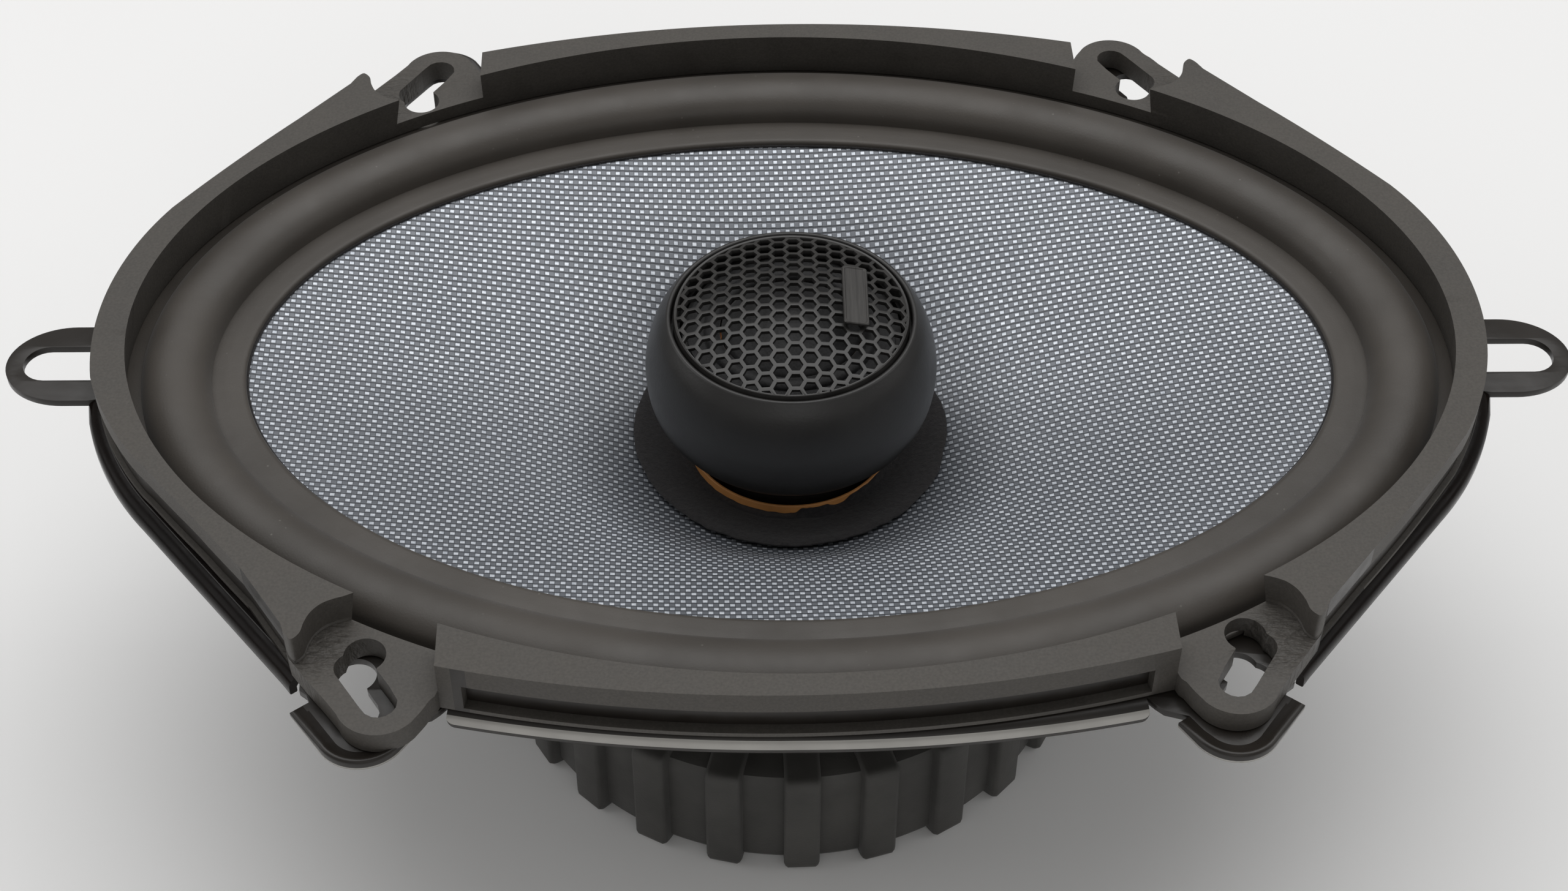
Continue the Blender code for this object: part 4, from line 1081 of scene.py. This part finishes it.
def make_motor(zinc, stone, rubber):
    plate_ring = rounded_ring(17.0, 37.5, 17.9, 22.4, 0.5)
    new_piece("front_plate", turned(plate_ring, 160), zinc, ("top_plate",))
    magnet_ring = rounded_ring(21.0, 40.0, 7.6, 17.6, 1.2)
    new_piece("ring_magnet", turned(magnet_ring, 160), stone, ("magnet",))
    pole = [(3, 23), (14.7, 23), (14.7, 7.3), (38.5, 7.3), (38.5, 2.8), (6, 2.8), (6, 6.2), (3, 6.2)]
    new_piece("pole_piece", turned(in_mm(rounded(pole, 0.4))), zinc, ("t_yoke",))
    make_boot(rubber)
    for index in range(4):
        angle = math.radians(45 + 90 * index)
        x, y = 27.5 * MM * math.cos(angle), 27.5 * MM * math.sin(angle)
        head = [(0, 25.6), (0.9, 25.5), (1.8, 25.1), (2.3, 24.6), (2.45, 24.1), (0, 24.1)]
        shape = turned(in_mm(head), 36, False, None, (x, y))
        name = "seat_rivet_%d" % (index + 1)
        new_piece(name + "_head", shape, zinc, (name,), angle=60)


def make_boot(rubber):
    """The rubber cup round the magnet, its ribs standing out and folding over the top edge."""
    wall = [
        (0, 2.4), (40.3, 2.4), (40.3, 17.9), (37.8, 17.9), (37.8, 21.6), (38.1, 21.9), (42.7, 21.9),
        (43.8, 21.5), (44.3, 20.4), (44.3, 2.8), (43.8, 1.8), (43.0, 1.4), (41.9, 1.35), (0, 1.35),
    ]
    shape = turned(in_mm(wall), 288, False)
    side = rounded([(39.0, 21.0), (39.0, 23.0), (46.2, 23.0), (46.2, 1.2), (42.5, 1.2), (42.5, 21.0)], 1.4, 5)
    half = 2.7 * MM
    for rib in range(24):
        angle = math.radians(1.7 - 90) + 2 * math.pi * rib / 24
        out = Vector((math.cos(angle), math.sin(angle), 0))
        across = Vector((-out.y, out.x, 0))
        levels = ((-half, 0.55), (-half + 0.22 * MM, 0.2), (-half + 0.6 * MM, 0))
        levels += ((half - 0.6 * MM, 0), (half - 0.22 * MM, 0.2), (half, 0.55))
        rows = []
        middle = Vector((42.6, 12.0))
        for shift, shrink in levels:
            row = []
            for r, z in side:
                pulled_r = r - shrink if r > middle.x else r
                pulled_z = z - shrink if z > 21.5 else z + (shrink if z < 2.2 else 0)
                spot = out * pulled_r * MM + across * shift
                row.append(shape.verts.new((spot.x, spot.y, pulled_z * MM)))
            rows.append(row)
        skin(shape, rows)
        cap(shape, rows)
    new_piece("boot", shape, rubber, ("magnet_boot",), angle=45)


def make_terminals(board_stock, tin, zinc, wrap):
    low, high = drawn_box("terminal_board")
    shape = bmesh.new()
    width, depth = (high[0] - low[0]) / 2, (high[1] - low[1]) / 2
    middle = (low[1] + high[1]) / 2
    outline = [(x, y + middle) for x, y in rounded(rectangle(width, depth), 1.6 * MM, 5)]
    column(shape, outline, low[2], high[2])
    board = loose("board", shape)
    bevel(board, 0.15 * MM, 2, 40)
    dress(board, board_stock, replaces=("terminal_board",))
    for name in ("terminal_positive", "terminal_negative"):
        low, high = drawn_box(name)
        section = [(0, 0), (0, -0.8), (11, -0.8), (11, -7.6), (11.4, -8)]
        section += [(11.8, -7.6), (11.8, -0.5), (11.3, 0)]
        shape = bmesh.new()
        sides = []
        for x in (low[0], high[0]):
            sides.append([shape.verts.new((x, low[1] + y * MM, high[2] + z * MM)) for y, z in section])
        cap(shape, sides)
        skin(shape, sides)
        tab = loose(name + "_tab", shape)
        bevel(tab, 0.15 * MM, 2, 40)
        dress(tab, tin, replaces=(name,))
    for name in ("board_rivet_1", "board_rivet_2"):
        low, high = drawn_box(name)
        x, y = (low[0] + high[0]) / 2, (low[1] + high[1]) / 2
        radius = (high[0] - low[0]) / 2
        head = [(0, high[2]), (radius, high[2]), (radius * 0.9, high[2] - 0.6 * MM)]
        head += [(radius * 0.5, low[2] + 0.1 * MM), (0, low[2])]
        shape = turned(head, 32, False, None, (x, y))
        new_piece(name + "_head", shape, zinc, (name,), angle=60)
    low, high = drawn_box("crossover_capacitor")
    radius, half = (high[2] - low[2]) / 2, (high[0] - low[0]) / 2
    neck = radius * 0.88
    can = [(0, half), (neck, half), (neck, half * 0.93), (radius, half * 0.9), (radius, -half), (0, -half)]
    shape = turned(rounded(can, 0.5 * MM, 3, False), 48, False)
    centre = [(a + b) / 2 for a, b in zip(low, high)]
    shape.transform(Matrix.Translation(centre) @ Matrix.Rotation(math.pi / 2, 4, "Y"))
    new_piece("capacitor", shape, wrap, ("crossover_capacitor",), angle=50)


# ---------------------------------------------------------------- tweeter pod

def make_pod(plastic, zinc):
    outer = [
        (18.1, 74.0), (19.6, 71.8), (20.7, 69.0), (21.35, 65.8), (21.4, 63.0), (21.0, 60.1),
        (20.0, 57.5), (18.4, 55.3), (16.4, 53.9), (14.2, 53.0),
    ]
    rim = [(17.55, 71.0), (17.5, 73.7), (17.6, 73.95), (17.85, 74.05)]
    neck = [(12.8, 52.5), (12.4, 52.1), (12.4, 45.0), (4.0, 45.0), (4.0, 52.0), (0, 52.0)]
    cavity = [(0, 61.0), (16.3, 61.0), (16.3, 71.0)]
    shape = turned(in_mm(cavity + rim + smooth_points(outer, 6) + neck), 160, False)
    new_piece("pod_bowl", shape, plastic, ("tweeter_housing",), angle=50)
    for name in ("tweeter_post", "tweeter_face_ring"):
        recolour(name, plastic)
    for name in ("post_screw", "tweeter_yoke", "tweeter_magnet", "tweeter_pole_plate"):
        recolour(name, zinc)


def recolour(name, material):
    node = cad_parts[name]
    for slot in node.material_slots:
        slot.material = material


def sphere_radius(radius, rise):
    """The radius of the sphere of which a cap has this radius and rise."""
    return (radius**2 + rise**2) / (2 * rise)


def cap_height(radius):
    sphere = sphere_radius(GRILLE_RADIUS, GRILLE_RISE)
    return POD_RIM + GRILLE_RISE - sphere + math.sqrt(sphere**2 - radius**2)


def clip_to_circle(points, radius, sides=96):
    """The part of a convex outline that lies inside a circle."""
    for side in range(sides):
        angle = 2 * math.pi * (side + 0.5) / sides
        normal = Vector((math.cos(angle), math.sin(angle)))
        reach = radius * math.cos(math.pi / sides)
        kept = []
        for index, point in enumerate(points):
            following = points[(index + 1) % len(points)]
            here, there = normal.dot(point) - reach, normal.dot(following) - reach
            if here <= 0:
                kept.append(point)
            if here * there < 0:
                kept.append(point.lerp(following, here / (here - there)))
        points = kept
        if len(points) < 3:
            return []
    return points


def make_grille(paint):
    """Hexagonal mesh on a dome: each cell is one hole, its walls shared with its neighbours."""
    pitch, strut, clip = 2.45 * MM, 0.27 * MM, GRILLE_RADIUS - 0.3 * MM
    corner = pitch / math.sqrt(3)
    shape = bmesh.new()
    for column_index in range(-9, 10):
        for row_index in range(-8, 9):
            x = column_index * pitch * math.sqrt(3) / 2 + 0.4 * MM
            y = (row_index + 0.5 * (column_index % 2)) * pitch + 0.3 * MM
            cell = clip_to_circle([Vector(point) for point in circle(corner, 6, (x, y))], clip)
            if cell:
                shape.faces.new(ring(shape, cell, 0))
    bmesh.ops.remove_doubles(shape, verts=shape.verts, dist=0.02 * MM)
    cells = [face for face in shape.faces if face.calc_area() > (1.0 * MM) ** 2]
    bmesh.ops.inset_individual(shape, faces=cells, thickness=strut, use_even_offset=True)
    bmesh.ops.delete(shape, geom=cells, context="FACES")
    for vert in shape.verts:
        vert.co.z = cap_height(math.hypot(vert.co.x, vert.co.y))
    mesh_piece = loose("grille_mesh", shape)
    if mesh_piece.data.polygons[0].normal.z < 0:
        mesh_piece.data.flip_normals()
    solid = mesh_piece.modifiers.new("thickness", "SOLIDIFY")
    solid.thickness = 0.6 * MM
    solid.offset = -1
    apply_modifiers(mesh_piece)
    bevel(mesh_piece, 0.06 * MM, 2, 30)
    dress(mesh_piece, paint, replaces=("grille",), angle=60)
    foot, edge = 71.3 * MM, cap_height(clip)
    lip, inside = clip - 0.25 * MM, GRILLE_RADIUS - 0.5 * MM
    rim = [(lip, edge + 0.02 * MM), (clip + 0.1 * MM, edge + 0.12 * MM)]
    rim += [(GRILLE_RADIUS - 0.2 * MM, POD_RIM + 0.12 * MM), (GRILLE_RADIUS, POD_RIM - 0.25 * MM)]
    rim += [(GRILLE_RADIUS, foot), (inside, foot), (inside, POD_RIM - 0.7 * MM), (lip, edge - 0.5 * MM)]
    new_piece("grille_rim", turned(rim, 128), paint, angle=60)


def make_dome(silk):
    """The silk dome, and the half roll that joins it to the face ring."""
    rise, base, radius = 3.6 * MM, 71.2 * MM, 10.2 * MM
    sphere = sphere_radius(radius, rise)
    dome = []
    for step in range(17):
        r = radius * step / 16
        dome.append((r, base + rise - sphere + math.sqrt(sphere**2 - r**2)))
    dome += [(r, z - 0.25 * MM) for r, z in reversed(dome)]
    new_piece("silk_dome", turned(dome, 96, False), silk, ("tweeter_dome",), "dome_set", 60)
    inner, roll_end, outer = 10.45 * MM, 12.9 * MM, 15.2 * MM
    roll = []
    for step in range(13):
        angle = math.pi * step / 12
        out = (roll_end - inner) * (1 - math.cos(angle)) / 2
        roll.append((inner + out, base + 0.9 * MM * math.sin(angle)))
    roll.append((outer, base))
    roll += [(r, z - 0.2 * MM) for r, z in reversed(roll)]
    surround = new_piece("silk_roll", turned(roll, 96), silk, ("tweeter_surround",), None, 60)
    flex(surround, lambda point: round_share(point, inner, roll_end))


def make_badge(metal):
    """A blank plate with rounded corners and a raised rim."""
    low, high = drawn_box("badge")
    centre = Vector([(a + b) / 2 for a, b in zip(low, high)])
    tilt = math.asin(9.1 * MM / sphere_radius(GRILLE_RADIUS, GRILLE_RISE))
    shape = bmesh.new()
    rows = []
    for shrink, height in ((0.15, -0.3), (0, -0.2), (0, 0.1), (0.12, 0.22), (0.30, 0.22), (0.42, 0.12)):
        x, y = (1.85 - shrink) * MM, (6.0 - shrink) * MM
        outline = rounded(rectangle(x, y), 0.5 * MM, 4)
        rows.append(ring(shape, outline, height * MM))
    skin(shape, rows)
    cap(shape, rows)
    shape.transform(Matrix.Translation(centre) @ Matrix.Rotation(tilt, 4, "Y"))
    new_piece("blank_badge", shape, metal, ("badge",), angle=30)


# ---------------------------------------------------------------- build

def build():
    make_camera()
    make_stage()
    steel, zinc, film = coated("painted_steel"), coated("zinc_plate"), coated("amber_film")
    paper, copper = black_paper(), copper_wire()
    make_flange(steel, coated("painted_highlight_edge"), coated("shaded_steel_paint"))
    make_bowl(steel)
    make_gasket(gasket_plastic(), steel)
    make_surround(surround_rubber(), paper)
    make_cone(woven_cone())
    make_neck(paper, film, copper)
    make_spider(spider_cloth())
    make_motor(zinc, coated("ferrite"), boot_rubber())
    make_terminals(coated("paper_laminate"), coated("tinned_brass"), zinc, coated("capacitor_sleeve"))
    make_pod(coated("pod_plastic"), zinc)
    make_grille(coated("grille_paint"))
    make_dome(dome_silk())
    make_badge(badge_metal())
    recolour("tweeter_former", film)
    recolour("tweeter_coil", copper)


build()
